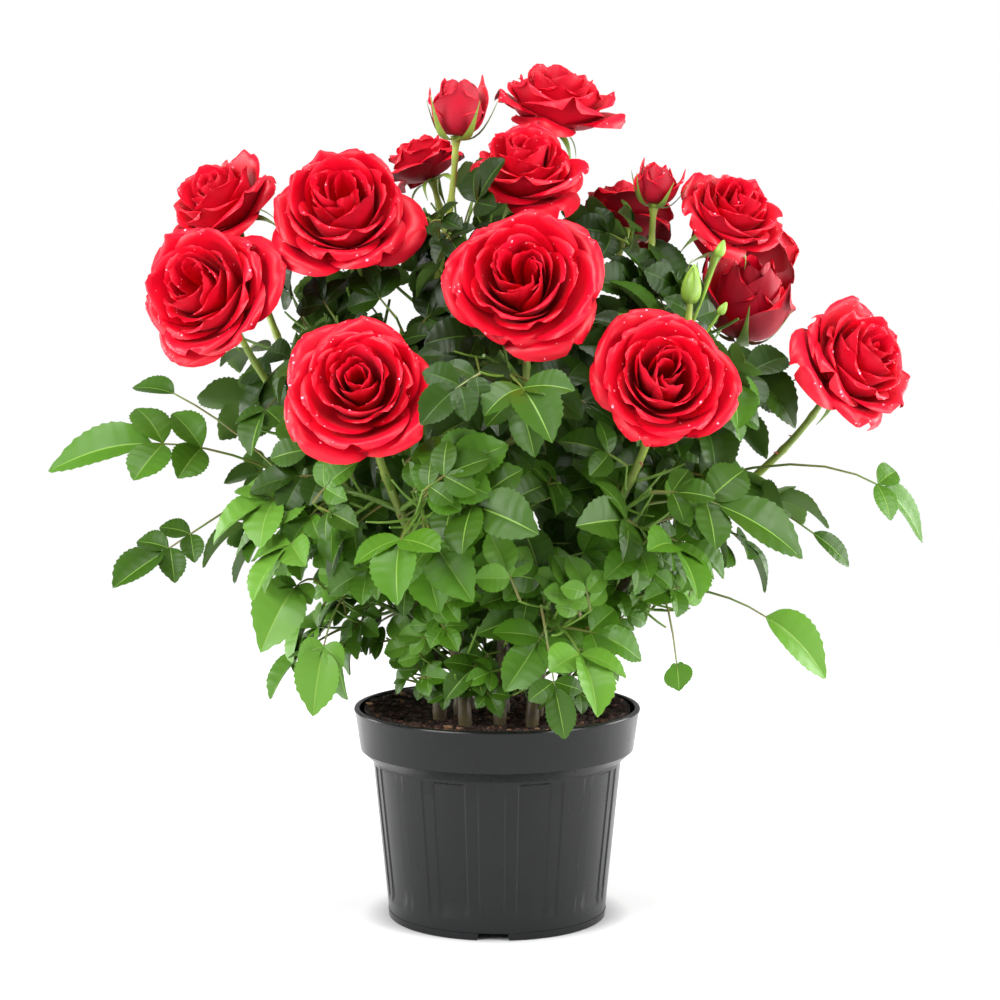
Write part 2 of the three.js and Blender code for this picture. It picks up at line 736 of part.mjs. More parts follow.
// Spots along a leaf's stalk, which is straight from joint to joint, and spots spread over its blades
function leafSpots(leaf) {
  const { sides, end } = leafletKites(leaf);
  const inSpace = ([x, y]) => leafPoint(leaf, x, y, 0);
  const joints = [[0, 0], ...sides.map((side) => side.foot), end.foot].map(inSpace);
  const stalk = [];
  for (const [i, joint] of joints.slice(1).entries()) {
    const steps = Math.ceil(joint.distanceTo(joints[i]) / LEAF.spotStep);
    for (let step = 0; step < steps; step += 1) stalk.push(joints[i].clone().lerp(joint, step / steps));
  }
  const blades = kiteSpots(end);
  for (const spot of sides.flatMap(kiteSpots)) blades.push(spot, [-spot[0], spot[1]]);
  return { stalk, blades: blades.map(inSpace) };
}

// A leaf that leaves its shoot or twig at a share of its length, a turn round it and a lean from it
function leafOn({ curve, along, turn, lean, size, pairs }) {
  const root = curve.getPointAt(along);
  const axis = curve.getTangentAt(along);
  const outward = new THREE.Vector3(root.x, root.y, 0).normalize();
  const side = squareTo(axis, Math.abs(axis.z) > 0.9 ? outward : UP);
  side.applyAxisAngle(axis, turn);
  const way = axis.multiplyScalar(Math.cos(lean)).addScaledVector(side, Math.sin(lean));
  const face = outward.multiplyScalar(LEAF.faceOut).addScaledVector(UP, LEAF.faceUp).normalize();
  way.addScaledVector(face, LEAF.outward).addScaledVector(UP, -LEAF.hang);
  way.addScaledVector(face, -0.8 * way.dot(face)).normalize();
  const blade = LEAF.blade * size;
  return {
    root,
    way,
    face: squareTo(way, face),
    stalk: LEAF.stalk * size * (pairs > 1 ? 1.25 : 1),
    blade,
    width: blade * LEAF.slender,
    pairs,
    sideSize: LEAF.sideSize,
    arch: LEAF.arch * blade,
  };
}

// A leaf that stands out of the crown, from the nearest spot of its mass's shoot to a given tip
function reachingLeaf(plan, { joint, tip, width, pairs }) {
  let root = plan.tip;
  for (let along = 0.35; along <= 1; along += 0.05) {
    const spot = plan.curve.getPointAt(along);
    if (spot.distanceTo(vector(joint)) < root.distanceTo(vector(joint))) root = spot;
  }
  const whole = vector(tip).sub(root);
  const way = whole.clone().normalize();
  const face = squareTo(way, new THREE.Vector3(0, -0.72, 0.69));
  const stalkway = vector(joint).sub(root);
  const stalk = stalkway.dot(way);
  const share = stalk / whole.length();
  const arch = stalkway.dot(face) / (4 * share * (1 - share));
  const blade = whole.length() - stalk;
  return { root, way, face, stalk, blade, width, pairs, sideSize: LEAF.reachingSideSize, arch };
}

// A side twig leaves the shoot at a share of its length and bends up
function twigCurve(plan, along, turn, size) {
  const start = plan.curve.getPointAt(along);
  const axis = plan.curve.getTangentAt(along);
  const side = squareTo(axis, Math.abs(axis.z) > 0.9 ? new THREE.Vector3(1, 0, 0) : UP);
  side.applyAxisAngle(axis, turn);
  const lean = THREE.MathUtils.degToRad(TWIG.lean);
  const way = axis.multiplyScalar(Math.cos(lean)).addScaledVector(side, Math.sin(lean));
  const length = TWIG.length * size;
  const middle = start.clone().addScaledVector(way, 0.5 * length);
  const end = start.clone().addScaledVector(way, length).addScaledVector(UP, TWIG.rise * length);
  return new THREE.QuadraticBezierCurve3(start, middle, end);
}

// A shoot or twig: three-sided, with a radius at each end
function twigSolid(curve, rootRadius, tipRadius, steps) {
  const shares = Array.from({ length: steps + 1 }, (_, i) => i / steps);
  const radii = shares.map((share) => rootRadius + (tipRadius - rootRadius) * share);
  return solidOf(limbGeometry({ curve, shares, radii, sides: TWIG.sides }));
}

// A leaf is left out where it would leave its mass's own space, come near a stem, a flower or the
// pot, or lie against a twig or an earlier leaf of its mass
function growLeaf(mass, leaf, isClear) {
  const { stalk, blades } = leafSpots(leaf);
  const isApart = (point, others, room) => others.every((other) => other.distanceTo(point) > room);
  const fits =
    [...stalk, ...blades].every((point) => isClear(mass, point, LIMB_ROOM)) &&
    blades.every((point) => isApart(point, mass.taken, LEAF.room)) &&
    blades.every((point) => isApart(point, mass.wood, LEAF.woodRoom)) &&
    stalk.slice(2).every((point) => isApart(point, mass.taken, LEAF.woodRoom));
  if (!fits) return false;
  mass.pieces.push(solidOf(leafGeometry(leaf)));
  mass.taken.push(...blades);
  mass.wood.push(...stalk);
  mass.leafCount += 1;
  return true;
}

// Each reaching leaf grows from the nearest mass that has room for it, with or without side leaflets
function growReachingLeaves(masses, isClear) {
  for (const planned of REACHING_LEAVES) {
    const joint = vector(planned.joint);
    const nearest = [...masses].sort((a, b) => a.centre.distanceTo(joint) - b.centre.distanceTo(joint));
    const tries = nearest.slice(0, 4).flatMap((mass) => [[mass, planned.pairs], [mass, 0]]);
    tries.some(([mass, pairs]) => growLeaf(mass, reachingLeaf(mass, { ...planned, pairs }), isClear));
  }
}

// Side twigs with an end leaf each, and then more leaves at the golden turn along shoot and twigs
function growMass(mass, isClear) {
  const random = seededRandom(mass.seed);
  const endLeaf = (curve, size, pairs) => leafOn({ curve, along: 0.985, turn: 0, lean: 0.2, size, pairs });
  growLeaf(mass, endLeaf(mass.curve, 1, 2), isClear);
  const axes = [mass.curve];
  for (let order = 0; order < TWIG.tries && axes.length <= TWIG.count; order += 1) {
    const along = 0.3 + (0.4 * order) / TWIG.tries;
    const curve = twigCurve(mass, along, order * GOLDEN_TURN + mass.seed, 0.85 + 0.3 * random());
    const route = curve.getPoints(6);
    if (!route.every((point) => isClear(mass, point, TWIG.rootRadius + 1))) continue;
    if (!growLeaf(mass, endLeaf(curve, 0.95, 1), isClear)) continue;
    mass.pieces.push(twigSolid(curve, TWIG.rootRadius, TWIG.tipRadius, TWIG.steps));
    mass.wood.push(...route);
    axes.push(curve);
  }
  for (let order = 0; order < LEAF.tries && mass.leafCount < LEAF.count; order += 1) {
    const curve = axes[order % axes.length];
    const along = 0.15 + 0.83 * random();
    const lean = THREE.MathUtils.degToRad(85 - 40 * along);
    const size = 0.7 + 0.3 * random();
    growLeaf(mass, leafOn({ curve, along, turn: order * GOLDEN_TURN, lean, size, pairs: 1 }), isClear);
  }
  return joined(mass.pieces);
}

// Materials

function material(colour, roughness) {
  return new THREE.MeshStandardMaterial({ color: colour, roughness, metalness: 0 });
}
const MATERIALS = {
  pot: material("#2b2c2e", 0.45),
  soil: material("#2a1a10", 0.95),
  stem: material("#6f8f3a", 0.6),
  bloom: material("#c80a1c", 0.6),
  leaf: material("#3f7a2c", 0.5),
};

// Assembly

const rose = new THREE.Group();

function addPiece(name, geometry, finish, parent) {
  const mesh = new THREE.Mesh(geometry, finish);
  mesh.name = name;
  parent.add(mesh);
}

const container = new THREE.Group();
addPiece("pot", geometryOf(potSolid()), MATERIALS.pot, container);
addPiece("soil", soilGeometry(), MATERIALS.soil, container);
rose.add(container);

const canes = CANES.map(caneLimb);
const sideStems = SIDE_STEMS.map((plan) => sideLimb(plan, canes));
const limbs = [...canes, ...sideStems];
const stems = new THREE.Group();
for (const limb of limbs) addPiece(`stem_${limb.name}`, geometryOf(stemSolid(limb)), MATERIALS.stem, stems);
rose.add(stems);

const flowers = new THREE.Group();
for (const [name, bloom] of Object.entries(BLOOMS)) {
  addPiece(`bloom_${name}`, bloomGeometry(bloom), MATERIALS.bloom, flowers);
}
rose.add(flowers);

const masses = massPlans(limbs);
const lines = limbs.flatMap(limbLine);
const blooms = [...Object.values(BLOOMS), { ...GREEN_BUD, size: GREEN_BUD.length, cup: 1 }];
const isClear = (mass, point, room) =>
  inCell(point, mass, masses) &&
  clearOfPot(point) &&
  blooms.every((bloom) => clearOfBloom(point, bloom)) &&
  clearOfLines(point, lines, room);
growReachingLeaves(masses, isClear);
const foliage = new THREE.Group();
for (const mass of masses) addPiece(mass.name, geometryOf(growMass(mass, isClear)), MATERIALS.leaf, foliage);
rose.add(foliage);

export default rose;
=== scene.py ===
# %% [markdown]
# # A bush rose in its pot
# This notebook dresses the solid model of a potted bush rose. The solid model, the frame, says where
# every cane, flower and mass of leaves is. Each step below replaces one kind of solid with a
# detailed mesh that stays in the same place: pot, soil, canes, petals, green parts, then the leaves.

import json
import math

import bpy
import numpy as np
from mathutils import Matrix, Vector, noise

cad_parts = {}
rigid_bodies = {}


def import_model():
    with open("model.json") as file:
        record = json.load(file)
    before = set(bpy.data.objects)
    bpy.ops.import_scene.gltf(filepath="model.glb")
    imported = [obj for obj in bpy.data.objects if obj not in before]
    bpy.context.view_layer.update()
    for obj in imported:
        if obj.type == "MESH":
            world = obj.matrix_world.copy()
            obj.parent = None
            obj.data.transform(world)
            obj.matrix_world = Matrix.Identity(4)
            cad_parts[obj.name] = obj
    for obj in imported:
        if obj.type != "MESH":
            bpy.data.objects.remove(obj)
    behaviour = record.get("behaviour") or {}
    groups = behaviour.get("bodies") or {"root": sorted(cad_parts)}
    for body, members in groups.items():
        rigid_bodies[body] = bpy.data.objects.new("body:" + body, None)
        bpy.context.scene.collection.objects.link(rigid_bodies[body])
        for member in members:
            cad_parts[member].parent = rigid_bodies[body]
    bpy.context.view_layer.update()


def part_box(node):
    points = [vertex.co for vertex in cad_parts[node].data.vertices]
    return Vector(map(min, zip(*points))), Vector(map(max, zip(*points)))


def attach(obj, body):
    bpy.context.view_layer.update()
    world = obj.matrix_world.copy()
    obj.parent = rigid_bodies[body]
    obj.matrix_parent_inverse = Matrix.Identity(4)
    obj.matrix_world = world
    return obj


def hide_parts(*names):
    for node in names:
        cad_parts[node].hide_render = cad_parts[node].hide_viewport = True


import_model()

# %% [markdown]
# ## Units, directions and seeded numbers
# The plant's sizes are easiest to read in millimetres, so everything is worked out in millimetres and
# turned into metres when a mesh is made. Chance has to come out the same at every run, so random
# numbers come from a small generator with a seed, the same one that the solid model uses.

# %% Millimetres, directions and seeded numbers
METRES = 0.001
UP = np.array([0.0, 0.0, 1.0])
GOLDEN_TURN = math.pi * (3 - math.sqrt(5))


def point_of(values):
    return np.array(values, dtype=float)


def unit(way):
    return way / np.linalg.norm(way)


def square_to(way, rough):
    """The part of a rough direction that lies square to a way."""
    return unit(rough - np.dot(rough, way) * way)


def turned_about(way, axis, turn):
    """A direction turned about an axis by the right-hand rule."""
    along = axis * np.dot(axis, way)
    return along + (way - along) * math.cos(turn) + np.cross(axis, way) * math.sin(turn)


def seeded_random(seed):
    """Numbers from 0 to 1 that are the same at every run."""
    state = seed

    def draw():
        nonlocal state
        state = (state + 0x6D2B79F5) & 0xFFFFFFFF
        mixed = state
        mixed = ((mixed ^ (mixed >> 15)) * (mixed | 1)) & 0xFFFFFFFF
        mixed ^= (mixed + ((mixed ^ (mixed >> 7)) * (mixed | 61) & 0xFFFFFFFF)) & 0xFFFFFFFF
        return (mixed ^ (mixed >> 14)) / 4294967296

    return draw


# %% [markdown]
# ## A heap of small shapes
# A rose has thousands of leaflets and hundreds of petals. One object each would choke the scene, so
# the small shapes are gathered in a heap of vertices and faces, which becomes one mesh at the end.
# Numpy arrays make that quick. Every shape is a closed body, so the mesh has no loose skins.

# %% Gather shapes and turn them into a piece
class Heap:
    """Vertices in millimetres and faces of three or four corners, each face with its finish."""

    def __init__(self):
        self.points = []
        self.faces = []
        self.finishes = []
        self.count = 0

    def add(self, points, *groups, finish=0):
        """Adds one shape, whose faces come in groups with three or four corners each."""
        padded = []
        for faces in groups:
            faces = np.asarray(faces)
            missing = np.full((len(faces), 4 - faces.shape[1]), -1)
            padded.append(np.hstack([np.where(faces < 0, -1, faces + self.count), missing]))
        faces = np.vstack(padded)
        self.points.append(np.asarray(points, dtype=float))
        self.faces.append(faces)
        self.finishes.append(np.broadcast_to(finish, len(faces)))
        self.count += len(points)

    def triangles(self):
        return sum(int(np.where(faces[:, 3] < 0, 1, 2).sum()) for faces in self.faces)


def piece_from(name, heap, materials, replaces=(), sharp_angle=60):
    """One named object that rides on the plant's body and stands for the solids it replaces."""
    faces = np.vstack(heap.faces)
    sides = np.where(faces[:, 3] < 0, 3, 4)
    corners = faces.ravel()[faces.ravel() >= 0]
    mesh = bpy.data.meshes.new(name)
    mesh.vertices.add(heap.count)
    mesh.vertices.foreach_set("co", (np.vstack(heap.points) * METRES).ravel())
    mesh.loops.add(len(corners))
    mesh.loops.foreach_set("vertex_index", corners)
    mesh.polygons.add(len(faces))
    mesh.polygons.foreach_set("loop_start", np.concatenate([[0], np.cumsum(sides)[:-1]]))
    mesh.polygons.foreach_set("material_index", np.concatenate(heap.finishes).astype(int))
    mesh.polygons.foreach_set("use_smooth", np.ones(len(faces), dtype=bool))
    mesh.update(calc_edges=True)
    mesh.set_sharp_from_angle(angle=math.radians(sharp_angle))
    for material in materials:
        mesh.materials.append(material)
    piece = bpy.data.objects.new(name, mesh)
    bpy.context.scene.collection.objects.link(piece)
    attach(piece, "root")
    if replaces:
        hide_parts(*replaces)
    return piece


def loft_faces(rings, sides):
    """Quads between rings of corners that close on themselves."""
    ring, side = np.meshgrid(np.arange(rings - 1), np.arange(sides), indexing="ij")
    here = ring * sides + side
    beside = ring * sides + (side + 1) % sides
    return np.stack([here, beside, beside + sides, here + sides], axis=-1).reshape(-1, 4)


def fan_faces(hub, first, sides, turned=False):
    """Triangles between a hub and the ring whose corners start at first, turned over on demand."""
    side = np.arange(sides)
    beside = (side + 1) % sides
    near, far = (beside, side) if turned else (side, beside)
    return np.stack([np.full(sides, hub), first + near, first + far], axis=-1)


def grid_faces(grid):
    """Quads between the rows and columns of a grid of corner numbers."""
    quads = np.stack([grid[:-1, :-1], grid[:-1, 1:], grid[1:, 1:], grid[1:, :-1]], axis=-1)
    return quads.reshape(-1, 4)


def add_tube(heap, centres, radii, sides, finish=0, relief=0.0):
    """A closed round rod along a line of centres, with a radius at each and relief on its skin."""
    centres = np.asarray(centres)
    ways = np.gradient(centres, axis=0)
    ways /= np.linalg.norm(ways, axis=1)[:, None]
    chord = centres[-1] - centres[0]
    level = np.cross(UP, chord) if math.hypot(chord[0], chord[1]) > 1 else np.array([1.0, 0, 0])
    across = level - ways * (ways @ level)[:, None]
    across /= np.linalg.norm(across, axis=1)[:, None]
    front = np.cross(ways, across)
    turns = np.arange(sides) * 2 * math.pi / sides
    spread = across[:, None] * np.cos(turns)[:, None] + front[:, None] * np.sin(turns)[:, None]
    reach = np.broadcast_to(np.asarray(radii)[:, None] + relief, spread.shape[:2])
    skin = centres[:, None] + spread * reach[..., None]
    points = np.vstack([skin.reshape(-1, 3), centres[:1], centres[-1:]])
    start = fan_faces(len(points) - 2, 0, sides, turned=True)
    end = fan_faces(len(points) - 1, (len(centres) - 1) * sides, sides)
    heap.add(points, loft_faces(len(centres), sides), start, end, finish=finish)


# %% [markdown]
# ## Curves
# Canes and twigs bend smoothly, so each is a Bezier curve, and things are placed along it by a share
# of its length. A table of lengths along the curve turns such a share into a place.

# %% A curve that is read by share of its length
TABLE_SHARES = np.linspace(0, 1, 201)
WAY_STEP = 1e-4


class Bend:
    """A quadratic or cubic Bezier curve."""

    def __init__(self, *handles):
        self.handles = np.array(handles)
        self.table = self.spots(TABLE_SHARES)
        steps = np.linalg.norm(np.diff(self.table, axis=0), axis=1)
        self.lengths = np.concatenate([[0], np.cumsum(steps)])
        self.length = float(self.lengths[-1])

    def spots(self, share):
        share = np.atleast_1d(share)[:, None]
        order = len(self.handles) - 1
        return sum(
            math.comb(order, i) * (1 - share) ** (order - i) * share**i * self.handles[i]
            for i in range(order + 1)
        )

    def shares(self, along):
        return np.interp(np.asarray(along) * self.length, self.lengths, TABLE_SHARES)

    def at(self, along):
        return self.spots(self.shares(along))[0]

    def line(self, count):
        return self.spots(self.shares(np.linspace(0, 1, count)))

    def way(self, along):
        share = float(self.shares(along))
        low, high = max(0.0, share - WAY_STEP), min(1.0, share + WAY_STEP)
        return unit(self.spots(high)[0] - self.spots(low)[0])


print("A bend is measured at", len(TABLE_SHARES), "places")

# %% [markdown]
# ## Camera, light and floor
# The photograph was taken with a long lens a little above the middle of the plant and tilted six
# degrees down. A product picture like it has big soft lights on both sides and above, and a table and
# a background that come out white. Area lights stand in for the lamps. Two small low ones at the sides
# draw the edges of the pot's panels, and two a little to the rear light the rim of the crown. The
# floor is a pale round table that glows a little, except under the pot, where the missing glow is
# painted shade. The world looks white to the camera but lights the plant only softly.

# %% Camera, light and floor
CAMERA = {"place": (0.002, -1.84, 0.486), "tilt": 6, "lens": 95.9}
LIGHTS = [
    {"name": "left_window", "place": (-1.6, -1.5, 1.4), "size": 1.4, "watts": 56},
    {"name": "right_window", "place": (1.8, -1.2, 1.2), "size": 1.2, "watts": 42},
    {"name": "top_light", "place": (0.1, -0.4, 2.2), "size": 1.4, "watts": 40},
    {"name": "left_low_light", "place": (-1.4, -0.6, 0.2), "size": 0.5, "watts": 12},
    {"name": "right_low_light", "place": (1.4, -0.5, 0.2), "size": 0.5, "watts": 12},
    {"name": "rear_left_light", "place": (-1.7, 0.6, 0.4), "size": 1.0, "watts": 18},
    {"name": "rear_right_light", "place": (1.7, 0.6, 0.4), "size": 1.0, "watts": 22},
]
LIGHTS_AIM = Vector((0, 0, 0.3))
WORLD_LIGHT = 0.36

scene = bpy.context.scene
scene.view_settings.view_transform = "Standard"
camera = bpy.data.objects.new("camera", bpy.data.cameras.new("camera"))
camera.location = CAMERA["place"]
camera.rotation_euler = (math.radians(90 - CAMERA["tilt"]), 0, 0)
camera.data.lens = CAMERA["lens"]
scene.collection.objects.link(camera)
scene.camera = camera

for plan in LIGHTS:
    lamp = bpy.data.lights.new(plan["name"], "AREA")
    lamp.shape = "DISK"
    lamp.size = plan["size"]
    lamp.energy = plan["watts"]
    light = bpy.data.objects.new(plan["name"], lamp)
    light.location = plan["place"]
    light.rotation_euler = (LIGHTS_AIM - light.location).to_track_quat("-Z", "Y").to_euler()
    scene.collection.objects.link(light)

world = bpy.data.worlds.new("studio")
scene.world = world
world.use_nodes = True
air = world.node_tree.nodes["Background"]
air.inputs["Color"].default_value = (1, 1, 1, 1)
seen = world.node_tree.nodes.new("ShaderNodeLightPath")
strength = world.node_tree.nodes.new("ShaderNodeMapRange")
strength.inputs["To Min"].default_value = WORLD_LIGHT
strength.inputs["To Max"].default_value = 1
world.node_tree.links.new(seen.outputs["Is Camera Ray"], strength.inputs["Value"])
world.node_tree.links.new(strength.outputs["Result"], air.inputs["Strength"])

# The floor glows evenly except near the pot's axis, where the glow is left out as painted shade
FLOOR = {"radius": 1.3, "corners": 96, "glow": 0.45, "painted_shade_until": 0.075, "glows_from": 0.095}
turns = [2 * math.pi * i / FLOOR["corners"] for i in range(FLOOR["corners"])]
rim = [(FLOOR["radius"] * math.cos(turn), FLOOR["radius"] * math.sin(turn), 0) for turn in turns]
floor_mesh = bpy.data.meshes.new("floor")
floor_mesh.from_pydata(rim, [], [range(FLOOR["corners"])])
floor = bpy.data.objects.new("floor", floor_mesh)
scene.collection.objects.link(floor)
print("Camera", CAMERA["place"], "lights", len(LIGHTS), "floor", 2 * FLOOR["radius"], "m across")

# %% [markdown]
# ## Shader groups
# Petals, leaves, bark, compost and moulded plastic all differ a little from spot to spot. Two small
# node groups give that: mottle mixes a finish's two colours by soft noise and also puts out the mask,
# and grain gives a height for a Bump node. Both read places on the object, so nothing slides when
# the camera moves. The Principled shader stays in each material.

# %% Node groups for mottled colour and for grain
def colour_of(text):
    """A plain colour from its six-digit web form, in linear light."""
    shares = [int(text[i : i + 2], 16) / 255 for i in (0, 2, 4)]
    linear = [((share + 0.055) / 1.055) ** 2.4 if share > 0.04 else share / 12.92 for share in shares]
    return (*linear, 1.0)


def new_group(name, inputs, outputs):
    """An empty node group with sockets given as name, kind and default value."""
    group = bpy.data.node_groups.new(name, "ShaderNodeTree")
    for socket, kind, value in inputs:
        item = group.interface.new_socket(socket, in_out="INPUT", socket_type=kind)
        item.default_value = value
    for socket, kind in outputs:
        group.interface.new_socket(socket, in_out="OUTPUT", socket_type=kind)
    return group, group.nodes.new("NodeGroupInput"), group.nodes.new("NodeGroupOutput")


def mottle_group():
    """Two colours mixed by soft noise, with the noise as a mask."""
    group, given, result = new_group(
        "mottle",
        [
            ("Colour", "NodeSocketColor", (1, 1, 1, 1)),
            ("Shade", "NodeSocketColor", (0.5, 0.5, 0.5, 1)),
            ("Scale", "NodeSocketFloat", 60.0),
            ("Contrast", "NodeSocketFloat", 0.5),
        ],
        [("Colour", "NodeSocketColor"), ("Mask", "NodeSocketFloat")],
    )
    place = group.nodes.new("ShaderNodeTexCoord")
    soft = group.nodes.new("ShaderNodeTexNoise")
    soft.inputs["Detail"].default_value = 4
    spread = group.nodes.new("ShaderNodeMapRange")
    spread.inputs["From Min"].default_value = 0.35
    spread.inputs["From Max"].default_value = 0.65
    amount = group.nodes.new("ShaderNodeMath")
    amount.operation = "MULTIPLY"
    mix = group.nodes.new("ShaderNodeMix")
    mix.data_type = "RGBA"
    links = group.links
    links.new(place.outputs["Object"], soft.inputs["Vector"])
    links.new(given.outputs["Scale"], soft.inputs["Scale"])
    links.new(soft.outputs["Fac"], spread.inputs["Value"])
    links.new(spread.outputs["Result"], amount.inputs[0])
    links.new(given.outputs["Contrast"], amount.inputs[1])
    links.new(amount.outputs["Value"], mix.inputs["Factor"])
    links.new(given.outputs["Colour"], mix.inputs["A"])
    links.new(given.outputs["Shade"], mix.inputs["B"])
    links.new(mix.outputs["Result"], result.inputs["Colour"])
    links.new(spread.outputs["Result"], result.inputs["Mask"])
    return group


def grain_group():
    """A height of fine cells and soft noise, for a Bump node."""
    group, given, result = new_group(
        "grain",
        [("Scale", "NodeSocketFloat", 300.0), ("Cells", "NodeSocketFloat", 0.5)],
        [("Height", "NodeSocketFloat")],
    )
    place = group.nodes.new("ShaderNodeTexCoord")
    soft = group.nodes.new("ShaderNodeTexNoise")
    soft.inputs["Detail"].default_value = 3
    cells = group.nodes.new("ShaderNodeTexVoronoi")
    mix = group.nodes.new("ShaderNodeMix")
    links = group.links
    for texture in (soft, cells):
        links.new(place.outputs["Object"], texture.inputs["Vector"])
        links.new(given.outputs["Scale"], texture.inputs["Scale"])
    links.new(given.outputs["Cells"], mix.inputs["Factor"])
    links.new(soft.outputs["Fac"], mix.inputs["A"])
    links.new(cells.outputs["Distance"], mix.inputs["B"])
    links.new(mix.outputs["Result"], result.inputs["Height"])
    return group


MOTTLE = mottle_group()
GRAIN = grain_group()


def finish(
    name, colour, shade=None, *, spots=60, contrast=0.5, rough=(0.4, 0.6), grain=300, cells=0.5,
    bump=0.2, depth=0.0004, **fixed,
):
    """A material from both groups: rough is the roughness at the two ends of the mottle's mask.

    Without a shade the colour is the same all over and stands on the shader's own socket.
    """
    material = bpy.data.materials.new(name)
    material.use_nodes = True
    nodes, links = material.node_tree.nodes, material.node_tree.links
    shader = nodes["Principled BSDF"]
    mottle = nodes.new("ShaderNodeGroup")
    mottle.node_tree = MOTTLE
    mottle.inputs["Scale"].default_value = spots
    if shade is None:
        shader.inputs["Base Color"].default_value = colour_of(colour)
    else:
        mottle.inputs["Colour"].default_value = colour_of(colour)
        mottle.inputs["Shade"].default_value = colour_of(shade)
        mottle.inputs["Contrast"].default_value = contrast
        links.new(mottle.outputs["Colour"], shader.inputs["Base Color"])
    polish = nodes.new("ShaderNodeMapRange")
    polish.inputs["To Min"].default_value = rough[0]
    polish.inputs["To Max"].default_value = rough[1]
    relief = nodes.new("ShaderNodeGroup")
    relief.node_tree = GRAIN
    relief.inputs["Scale"].default_value = grain
    relief.inputs["Cells"].default_value = cells
    raised = nodes.new("ShaderNodeBump")
    raised.inputs["Strength"].default_value = bump
    raised.inputs["Distance"].default_value = depth
    links.new(mottle.outputs["Mask"], polish.inputs["Value"])
    links.new(polish.outputs["Result"], shader.inputs["Roughness"])
    links.new(relief.outputs["Height"], raised.inputs["Height"])
    links.new(raised.outputs["Normal"], shader.inputs["Normal"])
    for socket, value in fixed.items():
        shader.inputs[socket.replace("_", " ")].default_value = value
    material.diffuse_color = colour_of(colour)
    return material


def leaf_finish(name, colour, rough=0.34):
    """A leaf's plain colour, with the fine grain that scatters its shine."""
    return finish(
        name, colour, rough=(rough, rough + 0.1), bump=0.08, grain=1200, Specular_IOR_Level=0.24
    )


floor_finish = finish(
    "pale_floor", "cecece", "cacaca", spots=2, rough=(0.7, 0.8), bump=0.02,
    Emission_Strength=FLOOR["glow"],
)
# Painted shade: the glow fades out toward the pot's axis, so that the floor under the pot's foot comes out
# dark
glow = floor_finish.node_tree
spot = glow.nodes.new("ShaderNodeTexCoord")
away = glow.nodes.new("ShaderNodeVectorMath")
away.operation = "LENGTH"
painted_shade_under_pot = glow.nodes.new("ShaderNodeMapRange")
painted_shade_under_pot.inputs["From Min"].default_value = FLOOR["painted_shade_until"]
painted_shade_under_pot.inputs["From Max"].default_value = FLOOR["glows_from"]
glow.links.new(spot.outputs["Object"], away.inputs[0])
glow.links.new(away.outputs["Value"], painted_shade_under_pot.inputs["Value"])
glow.links.new(painted_shade_under_pot.outputs["Result"], glow.nodes["Principled BSDF"].inputs["Emission Color"])
floor.data.materials.append(floor_finish)
print("Shader groups", [group.name for group in (MOTTLE, GRAIN)])

# %% [markdown]
# ## Pot
# The pot is one moulding: a tapering body pressed with nine flat panels, an undercut, a wide band, a
# rolled lip, and a foot with four notches where water drains. A revolved profile gives the round
# form, and the panels and notches are moves of its vertices, with columns set close together on each
# side of an edge so that the edges stay crisp. Cuts by booleans would leave long thin faces.

# %% The pot's sizes, which come from its solid
pot_low, pot_high = [np.array(corner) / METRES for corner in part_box("pot")]
POT = {
    "height": pot_high[2],
    "rim": (pot_high[0] - pot_low[0]) / 2,
    "band_height": 29,
    "band_foot": 95.5,
    "body_top": 87,
    "body_top_height": 112,
    "body_foot": 77,
    "body_foot_height": 13,
    "base": 76.4,
    "wall": 2.2,
    "lip": 3.2,
    "floor": 7.5,
    "channel": 5,
    "pad": 30,
    "ring": 69,
}
PANEL = {"count": 9, "half_turn": 7.7, "depth": 1.5, "foot": 17, "top": 109, "first_turn": 17.5}
RAISED = {"half_turn": 6.2, "depth": 0.75}
NOTCH = {"count": 4, "half_turn": 7.9, "first_turn": -2}
EVEN_COLUMNS = 144
EDGE_TURN = 0.36
FOOT_RISE = 2.2
TOP_RISE = 0.7
print("The pot is", round(POT["height"]), "mm tall with", PANEL["count"], "panels")

# %% The pot's profile turned round, with panels and notches
def pot_columns():
    """Turns from the front, in degrees: even all round, and close by every edge."""
    turns = {round(i * 360 / EVEN_COLUMNS, 3) for i in range(EVEN_COLUMNS)}
    edges = []
    for i in range(PANEL["count"]):
        middle = PANEL["first_turn"] + i * 360 / PANEL["count"]
        edges += [middle - PANEL["half_turn"], middle + PANEL["half_turn"]]
        raised = middle + 180 / PANEL["count"]
        edges += [raised - RAISED["half_turn"], raised + RAISED["half_turn"]]
    for i in range(NOTCH["count"]):
        middle = NOTCH["first_turn"] + i * 360 / NOTCH["count"]
        edges += [middle - NOTCH["half_turn"], middle + NOTCH["half_turn"]]
    for edge in edges:
        turns = {turn for turn in turns if abs((turn - edge + 180) % 360 - 180) > 2 * EDGE_TURN}
        turns |= {(edge - EDGE_TURN) % 360, (edge + EDGE_TURN) % 360}
    return np.array(sorted(turns))


def within(turns, count, first_turn, half_turn):
    """1 inside evenly spaced sectors and 0 outside them."""
    period = 360 / count
    away = np.abs((turns - first_turn + period / 2) % period - period / 2)
    return (away < half_turn).astype(float)


